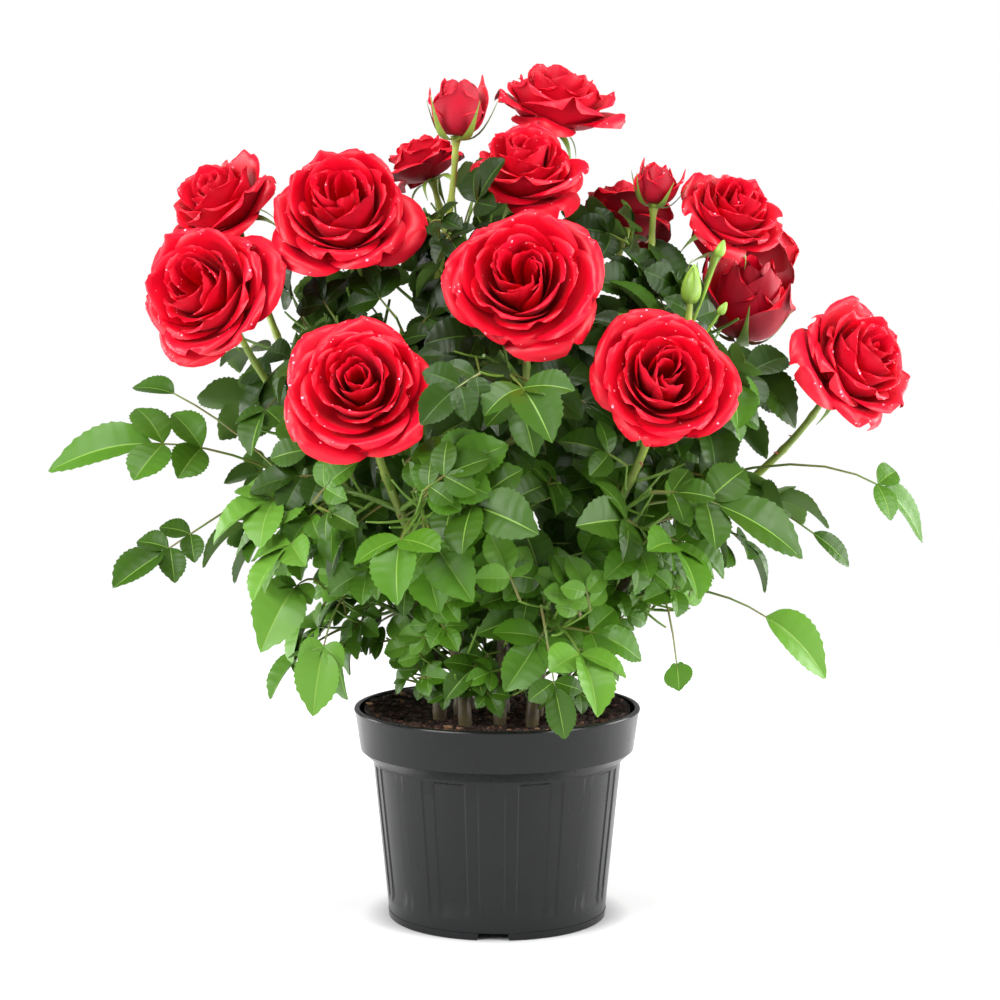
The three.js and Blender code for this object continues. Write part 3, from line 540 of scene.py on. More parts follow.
def pot_profile():
    """Radius and height from the middle of the underside, up the outside, over the lip, and down."""
    band = POT["height"] - POT["band_height"]
    slope = (POT["body_top"] - POT["body_foot"]) / (POT["body_top_height"] - POT["body_foot_height"])
    profile = [(0.01, 0), (POT["pad"], 0), (POT["pad"] + 2, POT["channel"])]
    profile += [(POT["ring"], POT["channel"]), (POT["ring"] + 1, 0.5), (POT["ring"] + 1.6, 0)]
    profile += [(POT["base"] - 0.8, 0), (POT["base"] - 0.1, 0.7), (POT["base"] + 0.2, POT["channel"])]
    edges = [PANEL["foot"] - FOOT_RISE, PANEL["foot"] + FOOT_RISE]
    edges += list(np.linspace(PANEL["foot"] + 12, PANEL["top"] - 12, 7))
    edges += [PANEL["top"] - TOP_RISE, PANEL["top"] + TOP_RISE]
    heights = [POT["channel"] + 0.3, POT["body_foot_height"], *edges, POT["body_top_height"] - 0.8]
    profile += [(POT["body_foot"] + slope * (z - POT["body_foot_height"]), z) for z in heights]
    profile += [(POT["body_top"] + 0.6, POT["body_top_height"]), (POT["body_top"] + 4, band - 4)]
    profile += [(POT["band_foot"] - 1, band - 0.7), (POT["band_foot"], band)]
    profile += [(POT["band_foot"] + 0.25, band + 1.2), (POT["rim"] - 0.9, POT["height"] - 3.4)]
    profile += [(POT["rim"] - 0.2, POT["height"] - 2.4), (POT["rim"], POT["height"] - 1.2)]
    profile += [(POT["rim"] - 0.4, POT["height"] - 0.3), (POT["rim"] - 1.2, POT["height"])]
    profile += [(POT["rim"] - POT["lip"], POT["height"])]
    profile += [(POT["rim"] - POT["lip"] - 0.5, POT["height"] - 0.6)]
    profile += [(POT["band_foot"] - POT["wall"], band), (POT["body_top"] - POT["wall"], band - 7)]
    profile += [(POT["body_foot"] - POT["wall"], POT["floor"]), (0.01, POT["floor"])]
    return np.array(profile)


def pot_heap():
    """The profile turned round, with the panels pressed in and the notches raised."""
    turns, profile = pot_columns(), pot_profile()
    radius, turn = np.meshgrid(profile[:, 0], turns, indexing="ij")
    height = np.broadcast_to(profile[:, 1:], radius.shape)
    is_panel = (height > PANEL["foot"]) & (height < PANEL["top"])
    pressed = within(turn, PANEL["count"], PANEL["first_turn"], PANEL["half_turn"])
    raised = within(turn, PANEL["count"], PANEL["first_turn"] + 180 / PANEL["count"], RAISED["half_turn"])
    step = PANEL["depth"] * pressed + RAISED["depth"] * (1 - pressed) * (1 - raised)
    radius = radius - is_panel * step
    notched = within(turn, NOTCH["count"], NOTCH["first_turn"], NOTCH["half_turn"])
    is_foot = (radius > POT["ring"] + 0.5) & (height < POT["channel"])
    height = np.where(is_foot, np.maximum(height, POT["channel"] * notched), height)
    angle = np.radians(turn)
    points = np.stack([radius * np.sin(angle), -radius * np.cos(angle), height], axis=-1)
    heap = Heap()
    sides = len(turns)
    count = len(profile)
    ends = np.array([[0, 0, 0], [0, 0, POT["floor"]]])
    under = fan_faces(count * sides, 0, sides, turned=True)
    inside = fan_faces(count * sides + 1, (count - 1) * sides, sides)
    heap.add(np.vstack([points.reshape(-1, 3), ends]), loft_faces(count, sides), under, inside)
    return heap


pot_finish = finish(
    "pot_plastic", "111213", "0c0d0e", spots=35, contrast=0.6, rough=(0.22, 0.3),
    grain=900, cells=0.3, bump=0.012, depth=0.0002, Specular_IOR_Level=0.25,
)
pot = pot_heap()
piece_from("nursery_pot", pot, [pot_finish], ["pot"], sharp_angle=32)
print("Pot", pot.triangles(), "triangles,", round(POT["rim"] * 2), "mm across the rim")

# %% [markdown]
# ## Compost
# The pot holds dark moist compost of crumbs, bark chips and pale fibre. A bump map alone would look
# like paint where it meets the rim, so the compost is a lumpy disc with a few thousand closed crumbs
# scattered over it. Their colours are plain and dealt out by chance.

# %% Compost surface and crumbs
SOIL_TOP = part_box("soil")[1][2] / METRES - 2.6
SOIL_RADIUS = 93.0
SKIRT = [{"depth": 8, "inset": 0.8}, {"depth": 24, "inset": 4}]
CRUMBS = {"count": 3000, "smallest": 0.6, "largest": 2.9, "dark": 0.6, "bark": 0.35, "seed": 11}


def soil_height(x, y):
    """The compost's surface: lumps of two sizes, and a heap toward the wall."""
    lumps = 2.2 * noise.noise((x / 16, y / 16, 3.0)) + 1.1 * noise.noise((x / 5, y / 5, 9.0))
    return SOIL_TOP + lumps + 8.5 * (math.hypot(x, y) / SOIL_RADIUS) ** 5


def soil_heap():
    """A disc of rings in the mouth of the pot, closed by a skirt and a floor inside the pot."""
    heap = Heap()
    rings, sides = 26, 72
    points = [(0, 0, soil_height(0, 0))]
    for ring in range(1, rings + 1):
        radius = SOIL_RADIUS * ring / rings
        for side in range(sides):
            turn = 2 * math.pi * side / sides
            x, y = radius * math.cos(turn), radius * math.sin(turn)
            points.append((x, y, soil_height(x, y)))
    for step in SKIRT:
        radius = SOIL_RADIUS - step["inset"]
        for side in range(sides):
            turn = 2 * math.pi * side / sides
            points.append((radius * math.cos(turn), radius * math.sin(turn), SOIL_TOP - step["depth"]))
    points.append((0, 0, SOIL_TOP - SKIRT[-1]["depth"]))
    middle = fan_faces(0, 1, sides)
    floor = fan_faces(len(points) - 1, 1 + (rings + 1) * sides, sides, turned=True)
    skin = loft_faces(rings + 2, sides)[:, ::-1] + 1
    heap.add(np.array(points), skin, middle, floor)
    return heap


def crumb_shape():
    """An icosahedron's corners and faces."""
    long = (1 + math.sqrt(5)) / 2
    corners = []
    for a in (-1, 1):
        for b in (-long, long):
            corners += [(0, a, b), (a, b, 0), (b, 0, a)]
    corners = np.array(corners, dtype=float) / math.hypot(1, long)
    faces = []
    edge = 2 / math.hypot(1, long)
    distance = np.linalg.norm(corners[:, None] - corners[None], axis=-1)
    near = np.abs(distance - edge) < 0.1
    for i in range(12):
        for j in range(i + 1, 12):
            for k in range(j + 1, 12):
                if near[i, j] and near[j, k] and near[i, k]:
                    normal = np.cross(corners[j] - corners[i], corners[k] - corners[i])
                    faces.append((i, j, k) if normal @ corners[i] > 0 else (i, k, j))
    return corners, np.array(faces)


def crumbs_heap():
    """Crumbs of uneven shape, turned and dealt out over the compost by chance."""
    heap = Heap()
    random = seeded_random(CRUMBS["seed"])
    corners, faces = crumb_shape()
    for _ in range(CRUMBS["count"]):
        radius = (SOIL_RADIUS - 2.5) * math.sqrt(random())
        turn = 2 * math.pi * random()
        x, y = radius * math.cos(turn), radius * math.sin(turn)
        size = CRUMBS["smallest"] + (CRUMBS["largest"] - CRUMBS["smallest"]) * random() ** 3
        jitter = np.array([0.75 + 0.5 * random() for _ in corners])[:, None]
        stretch = np.array([1 + 0.9 * random() ** 2, 0.8, 0.45 + 0.4 * random()])
        spin = 2 * math.pi * random()
        points = corners * jitter * stretch * size
        east = points[:, 0] * math.cos(spin) - points[:, 1] * math.sin(spin)
        north = points[:, 0] * math.sin(spin) + points[:, 1] * math.cos(spin)
        middle = (x, y, soil_height(x, y) + 0.25 * size)
        kind = random()
        finish_index = 0 if kind < CRUMBS["dark"] else 1 if kind < CRUMBS["dark"] + CRUMBS["bark"] else 2
        heap.add(np.stack([east, north, points[:, 2]], axis=-1) + middle, faces, finish=finish_index)
    return heap


soil_finish = finish(
    "compost", "2e1b12", "140b07", spots=160, contrast=1, rough=(0.8, 1), grain=500, bump=0.7, depth=0.001
)
crumb_finishes = [
    finish("compost_crumb", "301c12", "160c08", spots=300, rough=(0.8, 1), grain=900, bump=0.5),
    finish("bark_chip", "4a2b1b", "27150d", spots=300, rough=(0.7, 0.95), grain=900, bump=0.5),
    finish("pale_fibre", "8f6a48", "5f4028", spots=300, rough=(0.7, 0.95), grain=900, bump=0.4),
]
compost = soil_heap()
piece_from("compost_bed", compost, [soil_finish], ["soil"], sharp_angle=70)
crumbs = crumbs_heap()
piece_from("compost_crumbs", crumbs, crumb_finishes, sharp_angle=25)
print("Compost", compost.triangles() + crumbs.triangles(), "triangles")

# %% [markdown]
# ## Canes and side stems
# Ten canes rise from the compost and eleven side stems leave them, each bent up to its flower. Their
# feet, flowers and joints are the ones of the solid model, so the curves lie where its limbs lie. Bark
# of a young rose is smooth, with swollen joints, fine ridges and hooked prickles. A closed rod with
# small moves of its skin gives that relief in the mesh itself, which a bump map can't on an outline.

# %% Flowers, canes and side stems, as in the solid model
BLOOMS = {
    "left_low": {"at": (-198, -40, 439), "size": 94, "faces": (-0.45, -0.8, 0.35), "lobes": 3},
    "left_high": {"at": (-193, 25, 501), "size": 80, "faces": (-0.5, -0.45, 0.75)},
    "left_big": {"at": (-104, -30, 494), "size": 98, "faces": (-0.1, -0.75, 0.65), "lobes": 3},
    "front_left": {"at": (-88, -130, 381), "size": 96, "faces": (-0.1, -0.9, 0.4)},
    "centre": {"at": (16, -110, 447), "size": 98, "faces": (-0.1, -0.9, 0.45), "lobes": 3},
    "front_right": {"at": (108, -130, 385), "size": 93, "faces": (0.1, -0.9, 0.4), "lobes": 2},
    "right_far": {"at": (249, -20, 391), "size": 88, "faces": (0.62, -0.6, 0.5)},
    "right_high": {"at": (163, 0, 493), "size": 76, "faces": (0.35, -0.6, 0.7), "lobes": 2},
    "right_back": {"at": (178, 42, 433), "size": 62, "faces": (0.15, -0.3, 0.95), "cup": 1},
    "top_centre": {"at": (20, -12, 523), "size": 80, "faces": (0, -0.5, 0.85), "lobes": 3},
    "top": {"at": (42, 48, 572), "size": 84, "faces": (0.2, -0.2, 0.95)},
    "top_bud": {"at": (-27, -10, 563), "size": 40, "faces": (0.05, -0.1, 1), "cup": 1},
    "back_left": {"at": (-52, 55, 530), "size": 58, "faces": (-0.4, 0.1, 0.9)},
    "back_right": {"at": (91, 66, 492), "size": 68, "faces": (0.1, 0.5, 0.85)},
    "right_bud": {"at": (110, 0, 512), "size": 30, "faces": (0.15, -0.1, 1), "cup": 1},
    "rear_left": {"at": (-106, 140, 372), "size": 92, "faces": (-0.4, 0.85, 0.4)},
    "rear_right": {"at": (122, 140, 378), "size": 92, "faces": (0.4, 0.85, 0.4)},
    "rear_centre": {"at": (14, 148, 441), "size": 94, "faces": (0, 0.85, 0.5)},
    "rear_high_left": {"at": (-118, 100, 490), "size": 82, "faces": (-0.4, 0.6, 0.7)},
    "rear_high_right": {"at": (186, 108, 470), "size": 80, "faces": (0.6, 0.55, 0.6)},
}
GREEN_BUD = {"at": (130, -60, 444), "radius": 6.5, "length": 26, "faces": (0.1, -0.1, 1)}
CANES = {
    "left_low": (-40, -8),
    "left_big": (-26, 12),
    "front_left": (-22, -30),
    "centre": (2, -26),
    "front_right": (24, -32),
    "right_far": (42, -10),
    "right_high": (28, 8),
    "top": (4, 12),
    "rear_left": (-20, 36),
    "rear_right": (26, 36),
}
SIDE_STEMS = {
    "left_high": ("left_low", 0.5),
    "top_centre": ("top", 0.5),
    "top_bud": ("left_big", 0.5),
    "back_left": ("top", 0.42),
    "back_right": ("top", 0.6),
    "right_bud": ("right_high", 0.6),
    "green_bud": ("right_high", 0.45),
    "right_back": ("right_high", 0.52),
    "rear_centre": ("rear_right", 0.4),
    "rear_high_left": ("rear_left", 0.45),
    "rear_high_right": ("rear_right", 0.5),
}
SOIL_LEVEL = 139
GAP = 0.3
CANE_RADIUS = 4.6
SIDE_RADIUS = 2.9
NECK_RADIUS = 2.1
HIP = {"radius": 4.2, "length": 9}


def faces_of(name):
    """The way that a flower or the green bud looks."""
    return unit(point_of(GREEN_BUD["faces"] if name == "green_bud" else BLOOMS[name]["faces"]))


def seat_of(name):
    """Where a flower's petals meet its stem."""
    if name == "green_bud":
        return point_of(GREEN_BUD["at"]) - faces_of(name) * GREEN_BUD["length"] / 2
    bloom = BLOOMS[name]
    depth = 0.5 if bloom.get("cup") else 0.28
    return point_of(bloom["at"]) - faces_of(name) * depth * bloom["size"]


def stem_bend(start, start_way, name):
    """The curve from a stem's foot to the seat of its flower."""
    end = seat_of(name)
    length = np.linalg.norm(end - start)
    end_way = unit(faces_of(name) + UP)
    return Bend(start, start + 0.35 * length * start_way, end - 0.38 * length * end_way, end)


def limb(name, bend, root_radius, parent=None):
    return {"name": name, "bend": bend, "root_radius": root_radius, "parent": parent}


limbs = {}
for name, (x, y) in CANES.items():
    start = point_of((x, y, SOIL_LEVEL + GAP))
    limbs[name] = limb(name, stem_bend(start, UP, name), CANE_RADIUS)
for name, (cane, along) in SIDE_STEMS.items():
    parent = limbs[cane]["bend"]
    start = parent.at(along)
    way = unit(0.5 * parent.way(along) + unit(seat_of(name) - start))
    limbs[name] = limb(name, stem_bend(start, way, name), SIDE_RADIUS, cane)
print("Limbs", len(limbs), "longest", round(max(one["bend"].length for one in limbs.values())), "mm")

# %% Bark with joints, ridges and prickles
BARK = {
    "sides": 12,
    "ring_step": 3.2,
    "joint_step": 31,
    "joint_shift": 9,
    "joint_length": 2.6,
    "swelling": 0.55,
    "ridge": 0.16,
    "ridge_length": 22,
    "ridge_width": 0.7,
    "green_from": 270,
    "young_from": 400,
}
PRICKLE = {"step": 13, "length": 4.2, "width": 1.5, "from_height": 165, "until": 0.86, "missing": 0.35}
OLD_BARK, GREEN_BARK, YOUNG_BARK, PRICKLE_SKIN = range(4)


def radius_along(one, along):
    """A limb's radius, which narrows evenly to the neck and widens again under the flower."""
    neck = 1 - HIP["length"] / one["bend"].length
    radius = one["root_radius"] + (NECK_RADIUS - one["root_radius"]) * np.minimum(along, neck)
    if one["name"] == "green_bud":
        return radius
    hip = np.clip((along - neck) / (1 - neck), 0, 1)
    return radius + (HIP["radius"] - 0.3 - radius) * np.sin(hip * math.pi / 2) ** 1.5


def prickle(heap, centre, way, out, size):
    """A hooked prickle: a flattened cone whose tip is drawn down the stem."""
    root = centre - 0.5 * out
    spine = [root, root + out * size * 0.55 - way * size * 0.05, root + out * size - way * size * 0.42]
    radii = [PRICKLE["width"] * size / 4, PRICKLE["width"] * size / 9, 0.06]
    add_tube(heap, spine, radii, 4, finish=PRICKLE_SKIN)


def stem_heap(one):
    """A limb as one closed rod with joints and ridges, and the prickles on it."""
    heap = Heap()
    bend = one["bend"]
    rings = max(8, round(bend.length / BARK["ring_step"]))
    along = np.linspace(0 if one["parent"] is None else 0.004, 1, rings)
    centres = bend.line(rings)
    places = along * bend.length + BARK["joint_shift"]
    joints = np.abs(places % BARK["joint_step"] - BARK["joint_step"] / 2)
    swelling = BARK["swelling"] * np.exp(-((joints / BARK["joint_length"]) ** 2))
    relief = np.zeros((rings, BARK["sides"]))
    for ring in range(rings):
        for side in range(BARK["sides"]):
            up_stem = along[ring] * bend.length / BARK["ridge_length"]
            place = (side * BARK["ridge_width"], up_stem, one["root_radius"])
            relief[ring, side] = BARK["ridge"] * noise.noise(place) + swelling[ring]
    radii = radius_along(one, along)
    fade = np.clip((1 - along) * 30, 0, 1)[:, None]
    height = centres[:-1, 2]
    ages = np.where(height > BARK["green_from"], GREEN_BARK, OLD_BARK)
    ages = np.where(height > BARK["young_from"], YOUNG_BARK, ages)
    ages = np.concatenate([np.repeat(ages, BARK["sides"]), np.full(BARK["sides"], ages[0])])
    ages = np.concatenate([ages, np.full(BARK["sides"], ages[-1])])
    add_tube(heap, centres, radii, BARK["sides"], finish=ages, relief=relief * fade)
    random = seeded_random(int(bend.length * 7))
    for step in range(1, int(bend.length / PRICKLE["step"])):
        share = (step + 0.6 * random()) * PRICKLE["step"] / bend.length
        turn = 2 * math.pi * random()
        size = PRICKLE["length"] * (0.55 + 0.5 * random())
        if share > PRICKLE["until"] or random() < PRICKLE["missing"]:
            continue
        centre, way = bend.at(share), bend.way(share)
        if centre[2] < PRICKLE["from_height"]:
            continue
        out = turned_about(square_to(way, np.array([1.0, 0.3, 0.1])), way, turn)
        prickle(heap, centre + out * radius_along(one, share), way, out, size)
    return heap


stem_finishes = [
    finish("bark_old", "5c5230", "3d3020", spots=110, contrast=0.9, rough=(0.42, 0.6), grain=700,
           bump=0.3),
    finish("bark_green", "7f9438", "62782b", spots=90, contrast=0.7, rough=(0.36, 0.5), grain=700,
           bump=0.22),
    finish("bark_young", "9aab45", "7f9638", spots=80, contrast=0.7, rough=(0.34, 0.46), grain=700,
           bump=0.18),
    finish("prickle_red", "8c4a36", "a8664a", spots=200, rough=(0.3, 0.45), bump=0.1),
]
stem_triangles = 0
for name, one in limbs.items():
    heap = stem_heap(one)
    stem_triangles += heap.triangles()
    piece_from(f"bark_{name}", heap, stem_finishes, [f"stem_{name}"], sharp_angle=50)
print("Stems", stem_triangles, "triangles")

# %% [markdown]
# ## Petals
# A rose is a spiral of petals, each turned on from the last by the golden angle. The heart's petals
# wrap round each other, the next rows stand as bowls, and the outermost lie back with rolled margins
# that come to a point. One function draws a petal from its place in the spiral: a line from the
# seat out to the tip, a sweep round the axis, and a roll of the margin. A half-open flower is the same
# spiral with fewer petals on steeper lines, a cup. A face and a back that share their rim make each
# petal a closed blade.

# %% The shape of one petal
PETAL = {"across": 15, "along": 12, "thickness": 0.7}
OPEN_ROSE = {"petals": 25, "heart": 0.3}
CUPPED_ROSE = {"petals": 17, "heart": 0.45}
# A petal's middle line, as out and up by share of the flower's radius, from the heart to the rim
OPENNESS = [0, 0.15, 0.35, 0.6, 0.8, 1]
OPEN_LINES = {
    "out": [[0.04, 0.12, 0.1, 0.08], [0.05, 0.22, 0.24, 0.19], [0.06, 0.36, 0.42, 0.4],
            [0.06, 0.5, 0.66, 0.69], [0.06, 0.52, 0.84, 0.89], [0.06, 0.5, 0.92, 1.05]],
    "up": [[0, 0.2, 0.7, 1.02], [0, 0.14, 0.74, 1.08], [0, 0.08, 0.7, 1.04],
           [0, 0.06, 0.6, 0.9], [0, 0.08, 0.54, 0.72], [0, 0.1, 0.36, 0.4]],
}
CUP_LINES = {
    "out": [[0.04, 0.2, 0.2, 0.1], [0.05, 0.36, 0.42, 0.22], [0.06, 0.62, 0.68, 0.4],
            [0.06, 0.8, 0.88, 0.6], [0.06, 0.86, 0.94, 0.84], [0.06, 0.8, 0.96, 1.14]],
    "up": [[0, 0.3, 1.2, 1.76], [0, 0.2, 1.15, 1.82], [0, 0.1, 1.05, 1.84],
           [0, 0.06, 0.92, 1.78], [0, 0.04, 0.76, 1.64], [0, 0.04, 0.66, 1.34]],
}
LOBES = {"until": 0.34, "aside": 0.17}
HALF_WIDTHS = [0.22, 0.36, 0.54, 0.68, 0.74, 0.72]
CUP_WIDENING = 1.25
OUTERMOST_FROM = 0.8
SHOULDER = 0.6
ROLLS = [0.02, 0.06, 0.14, 0.26, 0.4, 0.5]
TURN_ASTRAY = 0.45


def blade_faces(across, along):
    """Faces of a grid and of its back, which shares the grid's rim, as indices of both in one list."""
    front = np.arange(across * along).reshape(along, across)
    back = front.copy()
    inner = (along - 2) * (across - 2)
    back[1:-1, 1:-1] = across * along + np.arange(inner).reshape(along - 2, across - 2)
    return grid_faces(front), grid_faces(back)[:, ::-1]


def bezier_weights(v):
    """The shares of the four handles of a cubic curve at v."""
    return [(1 - v) ** 3, 3 * v * (1 - v) ** 2, 3 * v * v * (1 - v), v**3]


def middle_line(lines, opened, v):
    """Out and up along a petal's middle, for the share by which the petal has opened."""
    line = []
    for values in lines.values():
        handles = [np.interp(opened, OPENNESS, column) for column in zip(*values)]
        line.append(sum(weight * handle for weight, handle in zip(bezier_weights(v), handles)))
    return line


def petal_points(opened, turn, radius, random, cup):
    """A petal's grid of points in the flower's own frame: rows from foot to rim, columns across."""
    u = np.linspace(-1, 1, PETAL["across"])[None, :]
    v = 1 - (1 - np.linspace(0, 1, PETAL["along"])[:, None]) ** 1.4
    size = 0.96 + np.interp(opened, [0.3, 0.8, 1], [0.2, 0.3, 0.36]) * (random() - 0.5)
    point = np.interp(opened, [0.4, 0.8, 1], [0.0, 0.12, 0.2]) * (0.3 + random())
    along = v * (1 - 0.06 * u**2 * v**4) + point * np.exp(-((u / 0.4) ** 2)) * v**6
    out, up = middle_line(CUP_LINES if cup else OPEN_LINES, opened, along)
    half_width = np.interp(opened, OPENNESS, HALF_WIDTHS) * (0.92 + 0.16 * random())
    rounding = np.interp(opened, [0, 0.5], [0.82, 0.94])
    beyond = rounding * np.clip((v - SHOULDER) / (1 - SHOULDER), 0, 1)
    sharpness = np.interp(opened, [0.4, 1], [0.5, 0.8])
    wide = half_width * (CUP_WIDENING if cup else 1) * (1 - beyond**2) ** sharpness
    wide = wide * (0.2 + 0.8 * np.sin(np.clip(v / SHOULDER, 0, 1) * math.pi / 2))
    swing = np.clip(wide / np.maximum(out, 0.1), 0, 1.9) * u
    roll = np.interp(opened, OPENNESS, ROLLS) * (0.75 + 0.5 * random())
    rim = np.clip((v - 0.66) / 0.34, 0, 1) ** 2 * (1 - 0.45 * np.exp(-((u / 0.45) ** 2)))
    side = np.interp(opened, [0.3, 1], [0.4, 0.8]) * np.abs(u) ** 3 * np.clip((v - 0.3) / 0.5, 0, 1)
    margin = rim + side - rim * side
    leaning = np.interp(opened, [0, 0.6, 1], [0.2, 0.5, 1])
    wave = random() * 6.3
    ripple = (0.016 + 0.03 * opened) * np.sin(4.2 * u + wave) * v**3
    ripple = ripple + (0.01 + 0.012 * opened) * np.sin(11 * u + 2 * wave) * v**5
    hollow = 0.1 * opened * np.cos(u * math.pi / 2) * np.sin(v * math.pi) ** 2
    out = out * size + roll * margin * (1 - 0.5 * leaning) * 0.5 + ripple * (1 - leaning)
    up = up * size - roll * margin * leaning * 0.6 - hollow + ripple * leaning
    up = up + 0.1 * leaning * np.abs(u) ** 2 * v * (1 - margin)
    angle = turn - swing - 0.1 * (random() - 0.5) * v
    grid = [out * np.cos(angle), out * np.sin(angle), np.broadcast_to(up, angle.shape)]
    return np.stack(grid, axis=-1) * radius


def blade_body(points, thickness):
    """The grid's face raised and its back lowered by half the thickness, with a shared rim."""
    along_way = np.gradient(points, axis=0)
    across_way = np.gradient(points, axis=1)
    normals = np.cross(across_way, along_way)
    normals /= np.maximum(np.linalg.norm(normals, axis=-1, keepdims=True), 1e-9)
    inner = (slice(1, -1), slice(1, -1))
    front = points.copy()
    front[inner] += normals[inner] * thickness / 2
    back = points[inner] - normals[inner] * thickness / 2
    return np.vstack([front.reshape(-1, 3), back.reshape(-1, 3)])


print("A petal has", 4 * (PETAL["across"] - 1) * (PETAL["along"] - 1), "triangles")

# %% Velvety finishes for the petals
def petal_finish(name, colour, shade, rough):
    """Velvety skin: two close reds, a fine grain, and a soft red sheen."""
    return finish(
        name, colour, shade, spots=70, contrast=0.6, rough=rough, grain=900, cells=0.4, bump=0.1,
        depth=0.0002, Specular_IOR_Level=0.3, Sheen_Weight=0.14, Sheen_Roughness=0.4,
        Sheen_Tint=(1, 0.15, 0.2, 1),
    )


# The faces are bright red. The backs are a duller red, partly the petal's own reverse and partly painted
# shade. The outermost and cupped petals take darker reds on face and back, which are painted shade
petal_finishes = [
    petal_finish("petal_heart", "e0062c", "cc0024", (0.42, 0.55)),
    petal_finish("petal_bright", "e40427", "d20022", (0.35, 0.48)),
    petal_finish("petal_outer_painted_shade", "da0224", "c4001f", (0.35, 0.48)),
    petal_finish("petal_back", "c80226", "b00020", (0.5, 0.6)),
    petal_finish("petal_guard_painted_shade", "ac0222", "8c001c", (0.5, 0.6)),
]
HEART, BRIGHT, OUTER_SHADE, BACK, GUARD_SHADE = range(5)
print("Petal finishes", len(petal_finishes))

# %% [markdown]
# ## Flowers and the water on them
# The flowers are wet: beads of water lie on all but the inmost petals. A bead could be a bump, but
# it has to catch the light by its own form, so each is a small closed dome that sits half in the
# petal's skin. The beads are set while a flower's petals are laid, so that they follow the blade.

# %% Drops of water
DROPS = {"a_petal": 4, "from": 0.2, "smallest": 0.45, "largest": 1.15, "sides": 6, "seed": 91}


def add_drop(heap, place, way, size):
    """A flat bead of water that sits half in the petal's skin."""
    side = square_to(way, point_of((0.3, 0.9, 0.2)))
    other = np.cross(way, side)
    turns = np.arange(DROPS["sides"]) * 2 * math.pi / DROPS["sides"]
    ring = place + size * (np.cos(turns)[:, None] * side + np.sin(turns)[:, None] * other)
    points = np.vstack([ring, place + way * size * 0.75, place - way * size * 0.2])
    dome = fan_faces(len(points) - 2, 0, DROPS["sides"])
    foot = fan_faces(len(points) - 1, 0, DROPS["sides"], turned=True)
    heap.add(points, dome, foot, finish=0)


def wet_petal(heap, body, axes, seat, random):
    """Scatter drops over the face of one petal's blade."""
    count = PETAL["along"] * PETAL["across"]
    face = body[:count].reshape(PETAL["along"], PETAL["across"], 3)[1:-1, 1:-1]
    back = body[count:].reshape(face.shape)
    for _ in range(DROPS["a_petal"]):
        row = int(face.shape[0] * (0.3 + 0.7 * random()))
        column = int(face.shape[1] * random())
        place = face[row, column] @ axes + seat
        way = unit((face[row, column] - back[row, column]) @ axes)
        size = DROPS["smallest"] + (DROPS["largest"] - DROPS["smallest"]) * random() ** 3
        add_drop(heap, place, way, size)


print("Drops on a petal", DROPS["a_petal"])

# %% Petals in a spiral, flower by flower
FIRST_FLOWER_SEED = 40


def flower_frame(name):
    """The directions across, along and out of a flower's face."""
    faces = faces_of(name)
    across = square_to(faces, UP if abs(faces[2]) < 0.95 else np.array([1.0, 0, 0]))
    return np.stack([across, np.cross(faces, across), faces])


def flower_heap(name, seed, drops, drop_random):
    """A flower's petals from the heart out. Drops go into the heap of drops, by their own chance."""
    heap = Heap()
    bloom = BLOOMS[name]
    cup = bool(bloom.get("cup"))
    kind = CUPPED_ROSE if cup else OPEN_ROSE
    random = seeded_random(seed)
    axes = flower_frame(name)
    radius = bloom["size"] / 2
    seat = seat_of(name) + axes[2] * GAP
    front, back = blade_faces(PETAL["across"], PETAL["along"])
    first_turn = 2 * math.pi * random()
    for i in range(kind["petals"]):
        opened = ((i + 0.5) / kind["petals"]) ** 0.9
        turn = first_turn + i * GOLDEN_TURN + TURN_ASTRAY * opened * (random() - 0.5)
        points = petal_points(opened, turn, radius, random, cup)
        if "lobes" in bloom and opened < LOBES["until"]:
            lobe = first_turn + (i % bloom["lobes"]) * 2 * math.pi / bloom["lobes"]
            aside = LOBES["aside"] * radius * (1 - opened / LOBES["until"] * 0.5)
            points = points + aside * np.array([math.cos(lobe), math.sin(lobe), 0])
        body = blade_body(points, PETAL["thickness"])
        if opened > DROPS["from"]:
            wet_petal(drops, body, axes, seat, drop_random)
        # Outermost and cupped petals take the darker reds: painted shade
        outermost = opened > OUTERMOST_FROM or cup
        face = HEART if opened < kind["heart"] else OUTER_SHADE if outermost else BRIGHT
        rear = GUARD_SHADE if outermost else BACK
        finishes = np.concatenate([np.full(len(front), face), np.full(len(back), rear)])
        heap.add(body @ axes + seat, front, back, finish=finishes)
    return heap


petal_triangles = 0
drops = Heap()
drop_random = seeded_random(DROPS["seed"])
for order, name in enumerate(BLOOMS):
    flower = flower_heap(name, FIRST_FLOWER_SEED + order, drops, drop_random)
    petal_triangles += flower.triangles()
    piece_from(f"petals_{name}", flower, petal_finishes, [f"bloom_{name}"], sharp_angle=75)
drop_finish = finish("water_drop", "ff9db0", "f77e96", spots=400, rough=(0.04, 0.1), bump=0.01)
piece_from("drops_on_petals", drops, [drop_finish], sharp_angle=80)
print("Petals", petal_triangles, "triangles in", len(BLOOMS), "flowers; drops", drops.triangles())

# %% [markdown]
# ## Sepals and green buds
# Under each flower five narrow sepals leave the swelling at the stem's end. Below an open flower they
# lie back, round a half-open one they stand and curl out at the tip, and on a closed bud they hold
# it shut. A sepal is the same kind of closed blade as a petal, drawn along a curve in the plane of
# the stem. A bud's body is a closed rod whose radius swells and narrows.

# %% Sepals round a flower's foot
SEPAL = {"count": 5, "across": 5, "along": 9, "half_width": 3.0, "thickness": 0.5}
BUD = {"rings": 15, "sides": 15, "sides_a_ridge": 3, "sink": 0.5, "small_sink": 0.4}
SEPAL_SKIN, BUD_SKIN = range(2)
SEPAL_CURVES = {
    "open": ([3.4, 15, 23, 25], [-1.5, 4, -5, -17]),
    "cup": ([3.6, 17, 22, 28], [-1.5, -3, 12, 27]),
    "shut": ([3.2, 9.4, 7.6, 2.4], [0, 5, 17, 30]),
}


